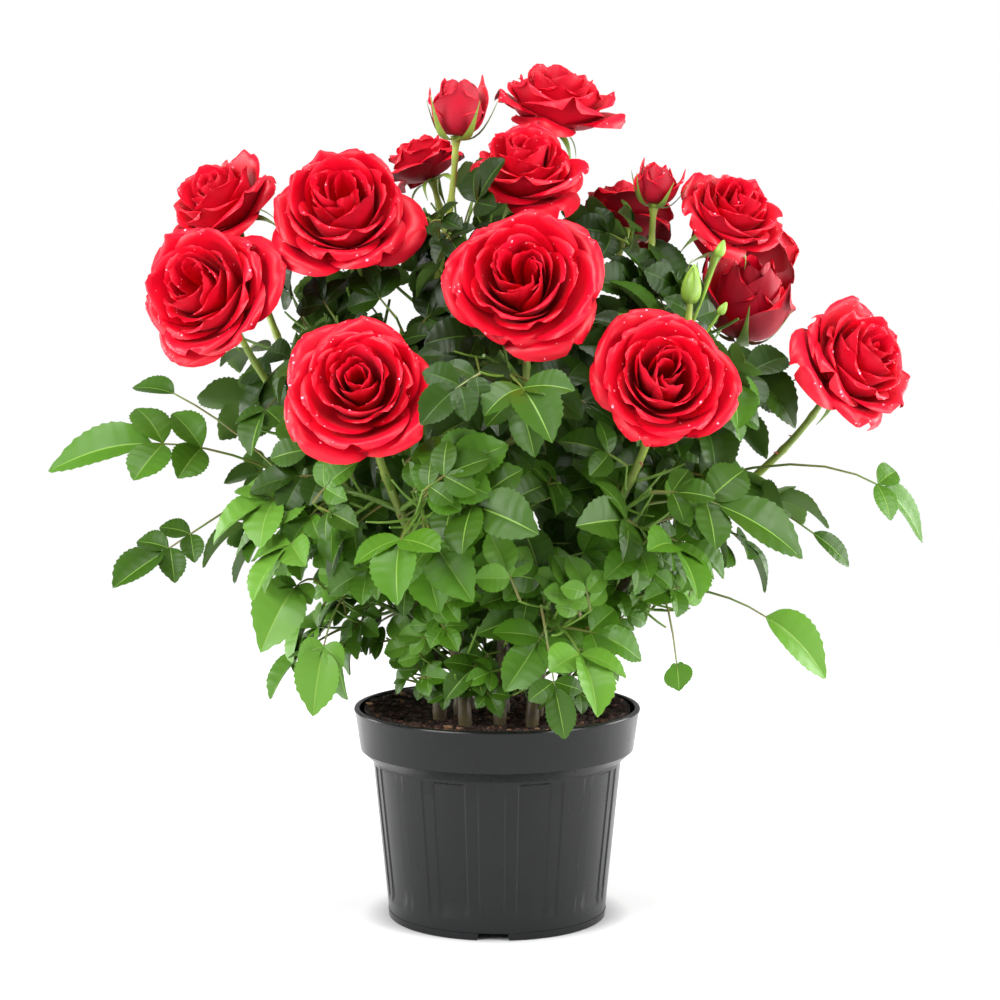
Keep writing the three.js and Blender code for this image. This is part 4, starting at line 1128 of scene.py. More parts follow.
def sepal_points(curve, turn, size, random):
    """A grid of points of one sepal in the flower's frame, in millimetres."""
    u = np.linspace(-1, 1, SEPAL["across"])[None, :]
    v = np.linspace(0, 1, SEPAL["along"])[:, None]
    weights = bezier_weights(v)
    out, up = [
        sum(weight * handle for weight, handle in zip(weights, handles)) * size for handles in curve
    ]
    up = up + 5 * (random() - 0.5) * v**2
    wide = SEPAL["half_width"] * size * (1 - v**1.6) * (1 + 0.35 * np.sin(v * 5)) + 0.25
    sway = 7 * (random() - 0.5) * v**2
    out = out - 0.1 * wide * np.abs(u)
    along_turn, across_turn = math.cos(turn), math.sin(turn)
    side = sway - wide * u
    grid = [
        out * along_turn - side * across_turn,
        out * across_turn + side * along_turn,
        np.broadcast_to(up, side.shape),
    ]
    return np.stack(np.broadcast_arrays(*grid), axis=-1)


def add_calyx(heap, seat, axes, kind, size, random):
    """Five sepals round a flower's foot or a bud."""
    front, back = blade_faces(SEPAL["across"], SEPAL["along"])
    first_turn = 2 * math.pi * random()
    for i in range(SEPAL["count"]):
        turn = first_turn + i * 2 * math.pi / SEPAL["count"] + 0.2 * (random() - 0.5)
        points = sepal_points(SEPAL_CURVES[kind], turn, size * (0.85 + 0.3 * random()), random)
        body = blade_body(points, SEPAL["thickness"])
        heap.add(body @ axes + seat, front, back, finish=SEPAL_SKIN)


def add_bud(heap, foot, way, radius, length):
    """A closed bud: a rod that swells below its middle and narrows to its tip."""
    shares = np.linspace(0, 1, BUD["rings"])
    radii = radius * np.sin(math.pi * shares**0.62) ** 0.75 + 0.35
    ridges = 0.05 * radius * np.cos(np.arange(BUD["sides"]) * 2 * math.pi / BUD["sides_a_ridge"])
    relief = ridges[None, :] * np.sin(math.pi * shares)[:, None]
    centres = foot + way * (shares * length)[:, None]
    add_tube(heap, centres, radii, BUD["sides"], finish=BUD_SKIN, relief=relief)


print("A sepal has", 4 * (SEPAL["across"] - 1) * (SEPAL["along"] - 1), "triangles")

# %% Green parts: sepals, the green bud and two small buds beside it
SMALL_BUDS = [
    {"from": 0.84, "at": (147, -62, 462), "radius": 3.1, "length": 12},
    {"from": 0.7, "at": (148, -64, 424), "radius": 2.6, "length": 10},
]
CALYX_SEED = 61
greens = Heap()
green_random = seeded_random(CALYX_SEED)
for name, bloom in BLOOMS.items():
    axes = flower_frame(name)
    kind, size = "open", np.interp(bloom["size"], [30, 60, 98], [0.72, 0.9, 1.05])
    if bloom.get("cup"):
        kind, size = "cup", min(bloom["size"] / 42, 1.3)
    add_calyx(greens, seat_of(name) - axes[2], axes, kind, size, green_random)
bud_axes = flower_frame("green_bud")
bud_foot = seat_of("green_bud") - bud_axes[2] * BUD["sink"]
add_bud(greens, bud_foot, bud_axes[2], GREEN_BUD["radius"], GREEN_BUD["length"] + BUD["sink"])
add_calyx(greens, seat_of("green_bud"), bud_axes, "shut", 0.9, green_random)
for bud in SMALL_BUDS:
    start = limbs["green_bud"]["bend"].at(bud["from"])
    foot = point_of(bud["at"])
    stalk = Bend(start, (start + foot) / 2 - UP * 3, foot)
    add_tube(greens, stalk.line(7), np.linspace(1.1, 0.8, 7), 6, finish=BUD_SKIN)
    bud_way = stalk.way(1)
    add_bud(greens, foot - bud_way * BUD["small_sink"], bud_way, bud["radius"], bud["length"])
green_finishes = [
    finish("sepal_green", "7f9c3e", "66852f", spots=120, contrast=0.7, rough=(0.4, 0.52), bump=0.12,
           grain=900),
    finish("bud_green", "8aae3c", "729636", spots=110, contrast=0.7, rough=(0.36, 0.48), bump=0.1,
           grain=900),
]
piece_from("calyx_and_buds", greens, green_finishes, sharp_angle=60)
print("Sepals and buds", greens.triangles(), "triangles")

# %% [markdown]
# ## Where leaves may grow
# A mass of foliage is a shoot with twigs and leaves that leave it at the golden turn. The solid model
# grows it by a seeded rule, and the same rule is written again here, so the shoots, their twigs and
# the leaves that reach out of the crown come out in the same places. A leaf is left out where it
# would leave its mass's space, touch a stem, lie in a flower or against an earlier leaf.

# %% Sizes of the crown, shoots, twigs and leaves, as in the solid model
CROWN = {"middle": 340, "rise": 160, "drop": 195, "width": 200, "depth": 165, "tuck": 0.25}
SHOOT = {"root": 2.1, "arch": 0.12, "length": 62, "room": 4, "inside": 18, "below": 15}
ROOTS = {"first": 0.12, "last": 0.9, "step": 0.04}
TWIG = {"root": 1.5, "lean": 60, "length": 36, "rise": 0.2, "count": 3, "tries": 14}
LEAF = {
    "stalk": 24,
    "blade": 50,
    "slender": 0.74,
    "widest": 0.42,
    "fold": 0.25,
    "droop": 0.3,
    "arch": 0.12,
    "outward": 0.5,
    "hang": 0.2,
    "face_out": 0.85,
    "face_up": 0.5,
    "side_size": 0.82,
    "reaching_side_size": 0.58,
    "side_shrink": 0.16,
    "side_turn": 66,
    "pair_step": 0.5,
    "room": 5.5,
    "spot_step": 5,
    "wood_room": 4,
    "count": 10,
    "tries": 320,
}
LEAN = {"at_root": 85, "less_at_tip": 40}
TIP_SHARE = 0.985
POT_ROOM = {"over": 4, "beside": 5, "below": 30}
CELL = {"middle": 0.7, "margin": 1.2}
FIRST_SEED = 100
LIMB_ROOM = 3.2
BLOOM_ROOM = 4
RING_COUNTS = {"cane": 7, "side": 6}
RINGS = [
    ("low", 232, 0.84, {"front": 14, "right": 84, "back": 184, "left": 276}),
    (
        "middle",
        308,
        0.8,
        {
            "front": 348,
            "front_right": 44,
            "right": 94,
            "back_right": 140,
            "back_left": 200,
            "left": 262,
            "front_left": 306,
        },
    ),
    ("upper", 398, 0.66, {"front": 356, "right": 70, "back": 184, "left": 286}),
    ("top", 474, 0, {"middle": 0}),
]
REACHING_LEAVES = [
    {"joint": (-236, -20, 335), "tip": (-306, -20, 324), "width": 30, "pairs": 2},
    {"joint": (-204, -50, 241), "tip": (-261, -50, 238), "width": 27, "pairs": 2},
    {"joint": (-215, 38, 378), "tip": (-256, 40, 376), "width": 20, "pairs": 0},
    {"joint": (-113, -67, 228), "tip": (-158, -69, 204), "width": 40, "pairs": 1},
    {"joint": (-104, -75, 197), "tip": (-124, -75, 158), "width": 31, "pairs": 1},
    {"joint": (272, 17, 330), "tip": (304, 17, 270), "width": 22, "pairs": 1},
    {"joint": (185, -50, 223), "tip": (224, -50, 178), "width": 28, "pairs": 2},
    {"joint": (147, -96, 306), "tip": (204, -96, 268), "width": 36, "pairs": 1},
    {"joint": (218, -10, 271), "tip": (245, -10, 249), "width": 16, "pairs": 0},
    {"joint": (109, -85, 190), "tip": (122, -85, 174), "width": 20, "pairs": 1},
    {"joint": (128, -60, 228), "tip": (162, -60, 182), "width": 18, "pairs": 0},
    {"joint": (43, -112, 182), "tip": (43, -118, 147), "width": 20, "pairs": 1},
    {"joint": (-54, -56, 182), "tip": (-60, -64, 157), "width": 22, "pairs": 1},
    {"joint": (176, -24, 376), "tip": (204, -26, 366), "width": 18, "pairs": 0},
]


# %% Room for shoots and leaves
def crown_width(height):
    """Half the crown's width at a height: an ellipse that is tucked in below."""
    above = height - CROWN["middle"]
    share = np.clip(above / np.where(above > 0, CROWN["rise"], CROWN["drop"]), -1, 1)
    return CROWN["width"] * np.sqrt(1 - share**2) * (1 + CROWN["tuck"] * np.minimum(0, share))


def crown_point(height, turn, share):
    """A spot by height, turn from the front, and share of the way out from the axis."""
    angle = math.radians(turn)
    width = crown_width(height) * share
    depth = width * CROWN["depth"] / CROWN["width"]
    return point_of((width * math.sin(angle), -depth * math.cos(angle), height))


def limb_line(one):
    """A limb's straight stretches from ring to ring, as starts, ends and radii."""
    rings = RING_COUNTS["side" if one["parent"] else "cane"]
    neck = 1 - HIP["length"] / one["bend"].length
    shares = np.append(neck * np.arange(rings) / (rings - 1), 1)
    radii = one["root_radius"] + (NECK_RADIUS - one["root_radius"]) * shares
    radii[-1] = NECK_RADIUS if one["name"] == "green_bud" else HIP["radius"]
    spots = np.array([one["bend"].at(share) for share in shares])
    return spots[:-1], spots[1:], np.maximum(radii[:-1], radii[1:])


def joined_lines(lines):
    return tuple(np.concatenate(parts) for parts in zip(*lines))


def clear_of_lines(points, lines, room):
    """True for the points that keep the room to every stretch."""
    starts, ends, radii = lines
    ways = ends - starts
    offset = points[:, None] - starts[None]
    share = np.clip((offset * ways).sum(-1) / (ways * ways).sum(-1), 0, 1)
    away = np.linalg.norm(offset - share[..., None] * ways, axis=-1)
    return (away > radii + room).all(axis=1)


LINES = {name: limb_line(one) for name, one in limbs.items()}
ALL_LINES = joined_lines(LINES.values())
IN_THE_WAY = [*BLOOMS.values(), {**GREEN_BUD, "size": GREEN_BUD["length"], "cup": 1}]
FLOWER_PLACES = np.array([bloom["at"] for bloom in IN_THE_WAY], dtype=float)
FLOWER_WAYS = np.array([unit(point_of(bloom["faces"])) for bloom in IN_THE_WAY])
FLOWER_RADII = np.array([bloom["size"] / 2 for bloom in IN_THE_WAY])
FLOWER_DEPTHS = np.array([bloom["size"] * (0.6 if bloom.get("cup") else 0.36) for bloom in IN_THE_WAY])


def clear_of_flowers(points, room):
    """True for the points outside every flower's ellipsoid and the room round it."""
    offset = points[:, None] - FLOWER_PLACES[None]
    along = (offset * FLOWER_WAYS).sum(axis=-1)
    aside = np.linalg.norm(offset - along[..., None] * FLOWER_WAYS, axis=-1)
    inside = (along / (FLOWER_DEPTHS + room)) ** 2 + (aside / (FLOWER_RADII + room)) ** 2
    return (inside > 1).all(axis=1)


def clear_of_pot(points):
    """True for the points over the pot, and beside it from a little below its rim."""
    radius = np.hypot(points[:, 0], points[:, 1])
    over_pot = points[:, 2] > POT["height"] + POT_ROOM["over"]
    beside_pot = points[:, 2] > POT["height"] - POT_ROOM["below"]
    return np.where(radius < POT["rim"] + POT_ROOM["beside"], over_pot, beside_pot)


def shoot_bend(root, tip):
    middle = (root + tip) / 2 + UP * SHOOT["arch"] * np.linalg.norm(tip - root)
    return Bend(root, middle, tip)


def root_for(tip):
    """The spot of a stem inside and below the tip from where a shoot meets no other stem."""
    best = None
    for name, one in limbs.items():
        others = joined_lines(lines for other, lines in LINES.items() if other != name)
        along = ROOTS["first"]
        while along < ROOTS["last"]:
            point = one["bend"].at(along)
            inside = math.hypot(tip[0], tip[1]) - math.hypot(point[0], point[1])
            is_inside = inside > SHOOT["inside"] or math.hypot(tip[0], tip[1]) < 1
            misfit = abs(np.linalg.norm(point - tip) - SHOOT["length"])
            along += ROOTS["step"]
            if not is_inside or tip[2] - point[2] < SHOOT["below"] or (best and misfit >= best[0]):
                continue
            bend = shoot_bend(point, tip)
            if clear_of_lines(bend.spots(np.linspace(0, 1, 13)), others, SHOOT["room"]).all():
                best = (misfit, point, bend)
    return best[1], best[2]


masses = []
for ring, height, reach, ring_sides in RINGS:
    for side, turn in ring_sides.items():
        tip = crown_point(height, turn, reach)
        root, bend = root_for(tip)
        masses.append(
            {
                "name": f"{ring}_{side}",
                "seed": FIRST_SEED + len(masses),
                "tip": tip,
                "bend": bend,
                "centre": root + CELL["middle"] * (tip - root),
                "taken": [],
                "wood": list(bend.spots(np.linspace(0, 1, 11))),
                "leaves": [],
                "twigs": [],
            }
        )
CENTRES = np.array([mass["centre"] for mass in masses])


def in_cell(points, mass):
    """True for the points that lie nearer to this mass's middle than to any other's."""
    between = CENTRES - mass["centre"]
    length = np.linalg.norm(between, axis=1)
    other = length > 1e-6
    ways = between[other] / length[other, None]
    return ((points - mass["centre"]) @ ways.T < length[other] / 2 - CELL["margin"]).all(axis=1)


def is_clear(mass, points, room):
    return (
        in_cell(points, mass).all()
        and clear_of_pot(points).all()
        and clear_of_flowers(points, BLOOM_ROOM).all()
        and clear_of_lines(points, ALL_LINES, room).all()
    )


print("Masses", len(masses), "first shoot", round(masses[0]["bend"].length), "mm")

# %% A leaf's place
def lean_at(along):
    """A leaf stands off near its twig's root and leans along it toward the tip."""
    return math.radians(LEAN["at_root"] - LEAN["less_at_tip"] * along)


def leaf_on(bend, along, turn, lean, size, pairs, toward=None):
    """A leaf that leaves its twig at a share of its length, a turn round it and a lean from it."""
    root, axis = bend.at(along), bend.way(along)
    outward = unit(point_of((root[0], root[1], 0)))
    side = square_to(axis, outward if abs(axis[2]) > 0.9 else UP)
    side = turned_about(side, axis, turn)
    if toward is not None:
        outward = unit(outward + toward)
    face = unit(outward * LEAF["face_out"] + UP * LEAF["face_up"])
    way = axis * math.cos(lean) + side * math.sin(lean) + face * LEAF["outward"] - UP * LEAF["hang"]
    way = unit(way - 0.8 * np.dot(way, face) * face)
    blade = LEAF["blade"] * size
    return {
        "root": root,
        "way": way,
        "face": square_to(way, face),
        "stalk": LEAF["stalk"] * size * (1.25 if pairs > 1 else 1),
        "blade": blade,
        "width": blade * LEAF["slender"],
        "pairs": pairs,
        "side_size": LEAF["side_size"],
        "arch": LEAF["arch"] * blade,
    }


def reaching_leaf(mass, joint, tip, width, pairs):
    """A leaf that stands out of the crown, from the nearest spot of its mass's shoot to a given tip."""
    joint, tip = point_of(joint), point_of(tip)
    root = mass["tip"]
    for step in range(14):
        spot = mass["bend"].at(0.35 + 0.05 * step)
        if np.linalg.norm(spot - joint) < np.linalg.norm(root - joint):
            root = spot
    whole = np.linalg.norm(tip - root)
    way = (tip - root) / whole
    face = square_to(way, np.array([0, -0.72, 0.69]))
    stalk = float(np.dot(joint - root, way))
    share = stalk / whole
    return {
        "root": root,
        "way": way,
        "face": face,
        "stalk": stalk,
        "blade": whole - stalk,
        "width": width,
        "pairs": pairs,
        "side_size": LEAF["reaching_side_size"],
        "arch": float(np.dot(joint - root, face)) / (4 * share * (1 - share)),
        "given_width": width,
    }


print("A leaf leans", [round(math.degrees(lean_at(share))) for share in (0, 1)], "degrees from root to tip")

# %% The spots that a leaf needs
def leaf_point(leaf, x, y, raised=0):
    """A spot of the leaf's plane in space: the stalk arches and the blades fold up and droop."""
    share = y / (leaf["stalk"] + leaf["blade"])
    lift = leaf["arch"] * 4 * share * (1 - share) + LEAF["fold"] * abs(x)
    lift = lift - LEAF["droop"] * x * x / leaf["blade"]
    across = np.cross(leaf["way"], leaf["face"])
    outer = np.multiply.outer
    return leaf["root"] + outer(y, leaf["way"]) + outer(x, across) + outer(lift + raised, leaf["face"])


def kite_spots(x, y, turn, length, wide):
    """A leaflet's corners and middle, and the spots half way between them."""
    along, across = (math.sin(turn), math.cos(turn)), (math.cos(turn), -math.sin(turn))

    def spot(share, side):
        return np.array(
            [
                x + along[0] * share * length + across[0] * side * wide / 2,
                y + along[1] * share * length + across[1] * side * wide / 2,
            ]
        )

    near, tip, far = spot(LEAF["widest"], 1), spot(1, 0), spot(LEAF["widest"], -1)
    middle, foot = spot(LEAF["widest"], 0), np.array([x, y])
    corners = [near, tip, far, foot]
    inner = [(corner + middle) / 2 for corner in corners]
    rim = [(near + tip) / 2, (far + tip) / 2, (near + foot) / 2, (far + foot) / 2]
    return [near, tip, far, middle, *inner, *rim]


def leaf_spots(leaf):
    """Spots along a leaf's stalk and spots spread over its blades."""
    blades = kite_spots(0, leaf["stalk"], 0, leaf["blade"], leaf["width"])
    feet = []
    for pair in range(leaf["pairs"] - 1, -1, -1):
        size = leaf["side_size"] - LEAF["side_shrink"] * pair
        y = leaf["stalk"] - LEAF["pair_step"] * leaf["blade"] * (pair + 0.45)
        feet.append(y)
        turn = math.radians(LEAF["side_turn"])
        for spot in kite_spots(0, y, turn, leaf["blade"] * size, leaf["width"] * size):
            blades += [spot, np.array([-spot[0], spot[1]])]
    joint_rises = np.array([0, *feet, leaf["stalk"]])
    joints = leaf_point(leaf, 0 * joint_rises, joint_rises)
    stalk = []
    for start, end in zip(joints, joints[1:]):
        steps = math.ceil(np.linalg.norm(end - start) / LEAF["spot_step"])
        stalk += [start + (end - start) * step / steps for step in range(steps)]
    blades = np.array(blades)
    return np.array(stalk), leaf_point(leaf, blades[:, 0], blades[:, 1])


def apart(points, others, room):
    """True where every point keeps the room to every spot that is taken."""
    if len(others) == 0:
        return True
    return bool((np.linalg.norm(points[:, None] - np.array(others)[None], axis=-1) > room).all())


print("Spots on an end leaflet", len(kite_spots(0, 0, 0, LEAF["blade"], LEAF["blade"] * LEAF["slender"])))

# %% Grow each mass by the source's rule
def grow_leaf(mass, leaf):
    """Adds the leaf where the source's rule has room for it. The tip alone rules most places out."""
    tip = leaf_point(leaf, 0, leaf["stalk"] + leaf["blade"])[None]
    if not is_clear(mass, tip, LIMB_ROOM):
        return False
    stalk, blades = leaf_spots(leaf)
    fits = (
        is_clear(mass, np.vstack([stalk, blades]), LIMB_ROOM)
        and apart(blades, mass["taken"], LEAF["room"])
        and apart(blades, mass["wood"], LEAF["wood_room"])
        and apart(stalk[2:], mass["taken"], LEAF["wood_room"])
    )
    if fits:
        mass["taken"] += list(blades)
        mass["wood"] += list(stalk)
        mass["leaves"].append(leaf)
    return fits


def side_of(axis, turn):
    """A direction square to an axis, as near up as it can be and then turned about the axis."""
    rough = point_of((1, 0, 0)) if abs(axis[2]) > 0.9 else UP
    return turned_about(square_to(axis, rough), axis, turn)


def twig_bend(mass, along, turn, size):
    """A side twig leaves the shoot at a share of its length and bends up."""
    start, axis = mass["bend"].at(along), mass["bend"].way(along)
    lean = math.radians(TWIG["lean"])
    way = axis * math.cos(lean) + side_of(axis, turn) * math.sin(lean)
    length = TWIG["length"] * size
    end = start + way * length + UP * TWIG["rise"] * length
    return Bend(start, start + way * length / 2, end)


def grow_mass(mass):
    """Side twigs with an end leaf each, and then more leaves at the golden turn."""
    random = seeded_random(mass["seed"])
    grow_leaf(mass, leaf_on(mass["bend"], TIP_SHARE, 0, 0.2, 1, 2))
    axes = [mass["bend"]]
    for order in range(TWIG["tries"]):
        if len(axes) > TWIG["count"]:
            break
        turn = order * GOLDEN_TURN + mass["seed"]
        bend = twig_bend(mass, 0.3 + 0.4 * order / TWIG["tries"], turn, 0.85 + 0.3 * random())
        route = bend.spots(np.linspace(0, 1, 7))
        end_leaf = leaf_on(bend, TIP_SHARE, 0, 0.2, 0.95, 1)
        if is_clear(mass, route, TWIG["root"] + 1) and grow_leaf(mass, end_leaf):
            mass["wood"] += list(route)
            axes.append(bend)
    for order in range(LEAF["tries"]):
        if len(mass["leaves"]) >= LEAF["count"]:
            break
        along = 0.15 + 0.83 * random()
        size = 0.7 + 0.3 * random()
        leaf = leaf_on(axes[order % len(axes)], along, order * GOLDEN_TURN, lean_at(along), size, 1)
        grow_leaf(mass, leaf)
    mass["twigs"] = axes[1:]


for planned in REACHING_LEAVES:
    nearest = sorted(masses, key=lambda mass: np.linalg.norm(mass["centre"] - point_of(planned["joint"])))
    tries = [(mass, pairs) for mass in nearest[:4] for pairs in (planned["pairs"], 0)]
    for mass, pairs in tries:
        if grow_leaf(mass, reaching_leaf(mass, **{**planned, "pairs": pairs})):
            break
reaching_count = sum(len(mass["leaves"]) for mass in masses)
for mass in masses:
    grow_mass(mass)
print("Reaching leaves", reaching_count, "leaves of the source", sum(len(mass["leaves"]) for mass in masses))

# %% [markdown]
# ## Growing on to a full crown
# The solid model shows each mass by a handful of leaves. The real bush has a few hundred, so the rule is
# carried on here: finer twigs leave the shoots, the twigs and the stems, and leaves leave them all at
# the golden turn. A real crown isn't even. Sky shows through it in places, and the stems under the front
# flowers are bare. So a few openings go right through, and no leaf may stand before those stems. A grid
# of small cubes remembers where leaves are, and a new one grows only where its cubes are free, so leaves
# lie close but not in each other, and gaps stay open between the sprays.

# %% Openings, bare stems and the cubes that leaves take
# Each opening as its range from left to right and its range from bottom to top
OPEN_PLACES = [
    (-80, -46, 404, 470),
    (56, 92, 420, 470),
    (158, 204, 388, 432),
    (-165, -128, 395, 432),
    (-190, -140, 318, 350),
    (-74, -60, 168, 200),
    (96, 150, 190, 225),
]
BARE = {"stems": ("front_left", "centre", "front_right"), "length": 95, "beside": 7}
CUBES = {"size": 2.5, "low": point_of((-340, -260, 110)), "count": (272, 208, 212)}


def in_opening(place):
    """True in the openings that go through the crown."""
    x, _, z = place
    return any(low < x < high and below < z < above for low, high, below, above in OPEN_PLACES)


bare_stems = []
for name in BARE["stems"]:
    bend = limbs[name]["bend"]
    shares = np.linspace(1 - BARE["length"] / bend.length, 1, 12)
    bare_stems.append(np.array([bend.at(share) for share in shares]))


def hides_stem(points):
    """True where a leaf would stand in front of a bare stem under one of the front flowers."""
    for line in bare_stems:
        beside = np.abs(points[:, 0] - np.interp(points[:, 2], line[:, 2], line[:, 0])) < BARE["beside"]
        before = points[:, 1] < np.interp(points[:, 2], line[:, 2], line[:, 1])
        level = (points[:, 2] > line[0, 2]) & (points[:, 2] < line[-1, 2])
        if (beside & before & level).any():
            return True
    return False


cubes_taken = np.zeros(CUBES["count"], dtype=bool)
reach = np.arange(-1, 2)
near_cubes = np.stack(np.meshgrid(reach, reach, reach, indexing="ij"), axis=-1).reshape(-1, 3)
near_cubes = near_cubes[np.linalg.norm(near_cubes, axis=1) <= 1]


def cube_of(points):
    """The cube that each point lies in, kept off the edge of the grid."""
    cube = np.floor((points - CUBES["low"]) / CUBES["size"]).astype(int)
    return np.clip(cube, 1, np.array(CUBES["count"]) - 2)


def take_cubes(points):
    """Marks the cubes that a leaf's spots lie in, and the six beside each, as taken."""
    cubes = (cube_of(points)[:, None] + near_cubes[None]).reshape(-1, 3)
    cubes_taken[tuple(cubes.T)] = True


def is_taken(points):
    """True where any of the spots lies in a taken cube."""
    return bool(cubes_taken[tuple(cube_of(points).T)].any())


for mass in masses:
    mass["leaves"] = [leaf for leaf in mass["leaves"] if not in_opening(leaf_spots(leaf)[1].mean(axis=0))]
    for leaf in mass["leaves"]:
        take_cubes(leaf_spots(leaf)[1])
print("Openings", len(OPEN_PLACES), "leaves of the source kept", sum(len(mass["leaves"]) for mass in masses))

# %% Room inside the crown's outline
OUTLINE = {"swell": 1.1, "top": 505, "flower_room": 2}
# The least half width of the crown, by height above its middle
LEAST_WIDTH = {"above": [-110, -60, 0, 1], "width": [95, 95, 20, 135]}


def in_crown(points):
    """True for the points inside the crown's outline, which stays wide among the flowers at the top."""
    least = np.interp(points[:, 2] - CROWN["middle"], *LEAST_WIDTH.values())
    width = np.maximum(crown_width(points[:, 2]) * OUTLINE["swell"], least)
    depth = width * CROWN["depth"] / CROWN["width"]
    inside = (points[:, 0] / width) ** 2 + (points[:, 1] / depth) ** 2 < 1
    return inside & (points[:, 2] < OUTLINE["top"])


def has_room(points, room):
    """True where a twig or leaf stays in the crown and clear of pot, flowers and stems."""
    return (
        in_crown(points).all()
        and clear_of_pot(points).all()
        and clear_of_flowers(points, OUTLINE["flower_room"]).all()
        and clear_of_lines(points, ALL_LINES, room).all()
    )


middle_width = 2 * CROWN["width"] * OUTLINE["swell"]
print("The crown's outline is", round(middle_width), "mm wide and ends at", OUTLINE["top"], "mm")

# %% Finer twigs on shoots, stems and the canes' feet
# Each kind's radius at the root, the room that it keeps to stems, the spots that are tested and how
# many of them are passed over at its root, and the share of its length from which it bears leaves
TWIG_KINDS = {
    "on_shoot": {"radius": 1.1, "room": 1.5, "spots": 6, "passed": 1, "leaves_from": 0.3},
    "on_stem": {"radius": 1.5, "room": 1.8, "spots": 7, "passed": 2, "leaves_from": 0.3},
    "low": {"radius": 1.2, "room": 1.5, "spots": 7, "passed": 2, "leaves_from": 0.25},
    "before_feet": {"radius": 1.0, "room": 1.2, "spots": 7, "passed": 2, "leaves_from": 0.5},
}
SHOOT_TWIGS = {"count": 4, "length": 30}
STEM_TWIGS = {"step": 30, "length": 46, "low_below": 200, "low_length": 0.6}
STEM_LEAVES = {"cane_from": 0.04, "side_from": 0.1, "bare_end": 40, "long_bare_end": 78}
LONG_BARE_STEMS = ("left_low", "right_far")
LOW_TWIGS = {"count": 9, "from": 0.02, "until": 0.26}
FOOT_TWIGS = {"count": 16, "canes": 6, "leaf_shares": 3}
GROWTH_SEED = 7

random = seeded_random(GROWTH_SEED)
twigs = [(bend, TWIG["root"]) for mass in masses for bend in mass["twigs"]]
twigs += [(mass["bend"], SHOOT["root"]) for mass in masses]
# Every line that may bear leaves, with the shares of its length between which they leave it
axes = [(bend, 0.15, TIP_SHARE) for bend, _ in twigs]


def finer_twig(bend, along, turn, length):
    """A twig that leaves another at a turn round it and bends outward and up."""
    start, axis = bend.at(along), bend.way(along)
    outward = unit(point_of((start[0], start[1], 20)))
    way = unit(0.5 * axis + 0.9 * side_of(axis, turn) + 0.5 * outward)
    return Bend(start, start + way * length / 2, start + way * length + UP * 0.15 * length)


def keep_twig(twig, kind):
    """Keeps a twig that has room, and gives the stretch of it that may bear leaves."""
    plan = TWIG_KINDS[kind]
    if not has_room(twig.line(plan["spots"])[plan["passed"] :], plan["room"]):
        return []
    twigs.append((twig, plan["radius"]))
    return [(twig, plan["leaves_from"], TIP_SHARE)]


for bend, _ in list(twigs):
    for order in range(SHOOT_TWIGS["count"]):
        along = 0.3 + 0.6 * (order + random()) / SHOOT_TWIGS["count"]
        length = SHOOT_TWIGS["length"] * (0.7 + 0.5 * random())
        axes += keep_twig(finer_twig(bend, along, order * GOLDEN_TURN + along, length), "on_shoot")
for one in limbs.values():
    bend = one["bend"]
    first = STEM_LEAVES["cane_from" if one["parent"] is None else "side_from"]
    bare_end = STEM_LEAVES["long_bare_end" if one["name"] in LONG_BARE_STEMS else "bare_end"]
    last = 1 - bare_end / bend.length
    axes.append((bend, first, last))
    for order in range(int(bend.length / STEM_TWIGS["step"])):
        along = first + (last - first) * (order + 0.6 * random()) * STEM_TWIGS["step"] / bend.length
        shorter = STEM_TWIGS["low_length"] if bend.at(along)[2] < STEM_TWIGS["low_below"] else 1
        length = STEM_TWIGS["length"] * (0.6 + 0.6 * random()) * shorter
        if along < last:
            axes += keep_twig(finer_twig(bend, along, order * GOLDEN_TURN, length), "on_stem")
for name in CANES:
    bend = limbs[name]["bend"]
    first, last = LOW_TWIGS["from"], LOW_TWIGS["until"]
    axes += [(bend, first, last)] * 2
    for order in range(LOW_TWIGS["count"]):
        along = first + (last - first) * order / LOW_TWIGS["count"]
        axes += keep_twig(finer_twig(bend, along, order * GOLDEN_TURN, 20 + 28 * random()), "low")
elsewhere = len(twigs)
for order in range(FOOT_TWIGS["count"]):
    bend = limbs[list(CANES)[order % FOOT_TWIGS["canes"]]]["bend"]
    start = bend.at(0.06 + 0.12 * random())
    length = 20 + 18 * random()
    way = unit(point_of((1.4 * (random() - 0.5), -1, 0.5 * random())))
    twig = Bend(start, start + way * length / 2, start + way * length - UP * 0.1 * length)
    axes = keep_twig(twig, "before_feet") * FOOT_TWIGS["leaf_shares"] + axes
print("Twigs", len(twigs), "of them before the canes' feet", len(twigs) - elsewhere)

# %% Further leaves
GROWTH = {
    "rounds": 45,
    "heights": [160, 200, 260, 420, 520],
    "sizes": [0.5, 0.62, 0.88, 1.0, 0.85],
    "five_leaflets": 0.75,
    "to_the_front": 1.1,
    "tip_room": 2,
    "blade_room": 1.5,
    "sparse_outside": 0.7,
    "sparse_below": 225,
    "left_out": 0.52,
}


def finer_leaf(bend, along, turn, random):
    """A leaf whose size goes by its height, and whose face turns to the front or to the back."""
    place = bend.at(along)
    by_height = np.interp(place[2], GROWTH["heights"], GROWTH["sizes"])
    size = (0.6 + 0.34 * random()) * by_height
    toward = point_of((0, GROWTH["to_the_front"] if place[1] > 20 else -GROWTH["to_the_front"], 0))
    pairs = 2 if random() < GROWTH["five_leaflets"] else 1
    return leaf_on(bend, along, turn, lean_at(along), size, pairs, toward)


def left_open(place, random):
    """True where the crown is open: in its openings, and by chance near its sides and its foot."""
    x, _, z = place
    if in_opening(place):
        return True
    outside = abs(x) / CROWN["width"] > GROWTH["sparse_outside"]
    return (outside or z < GROWTH["sparse_below"]) and random() < GROWTH["left_out"]


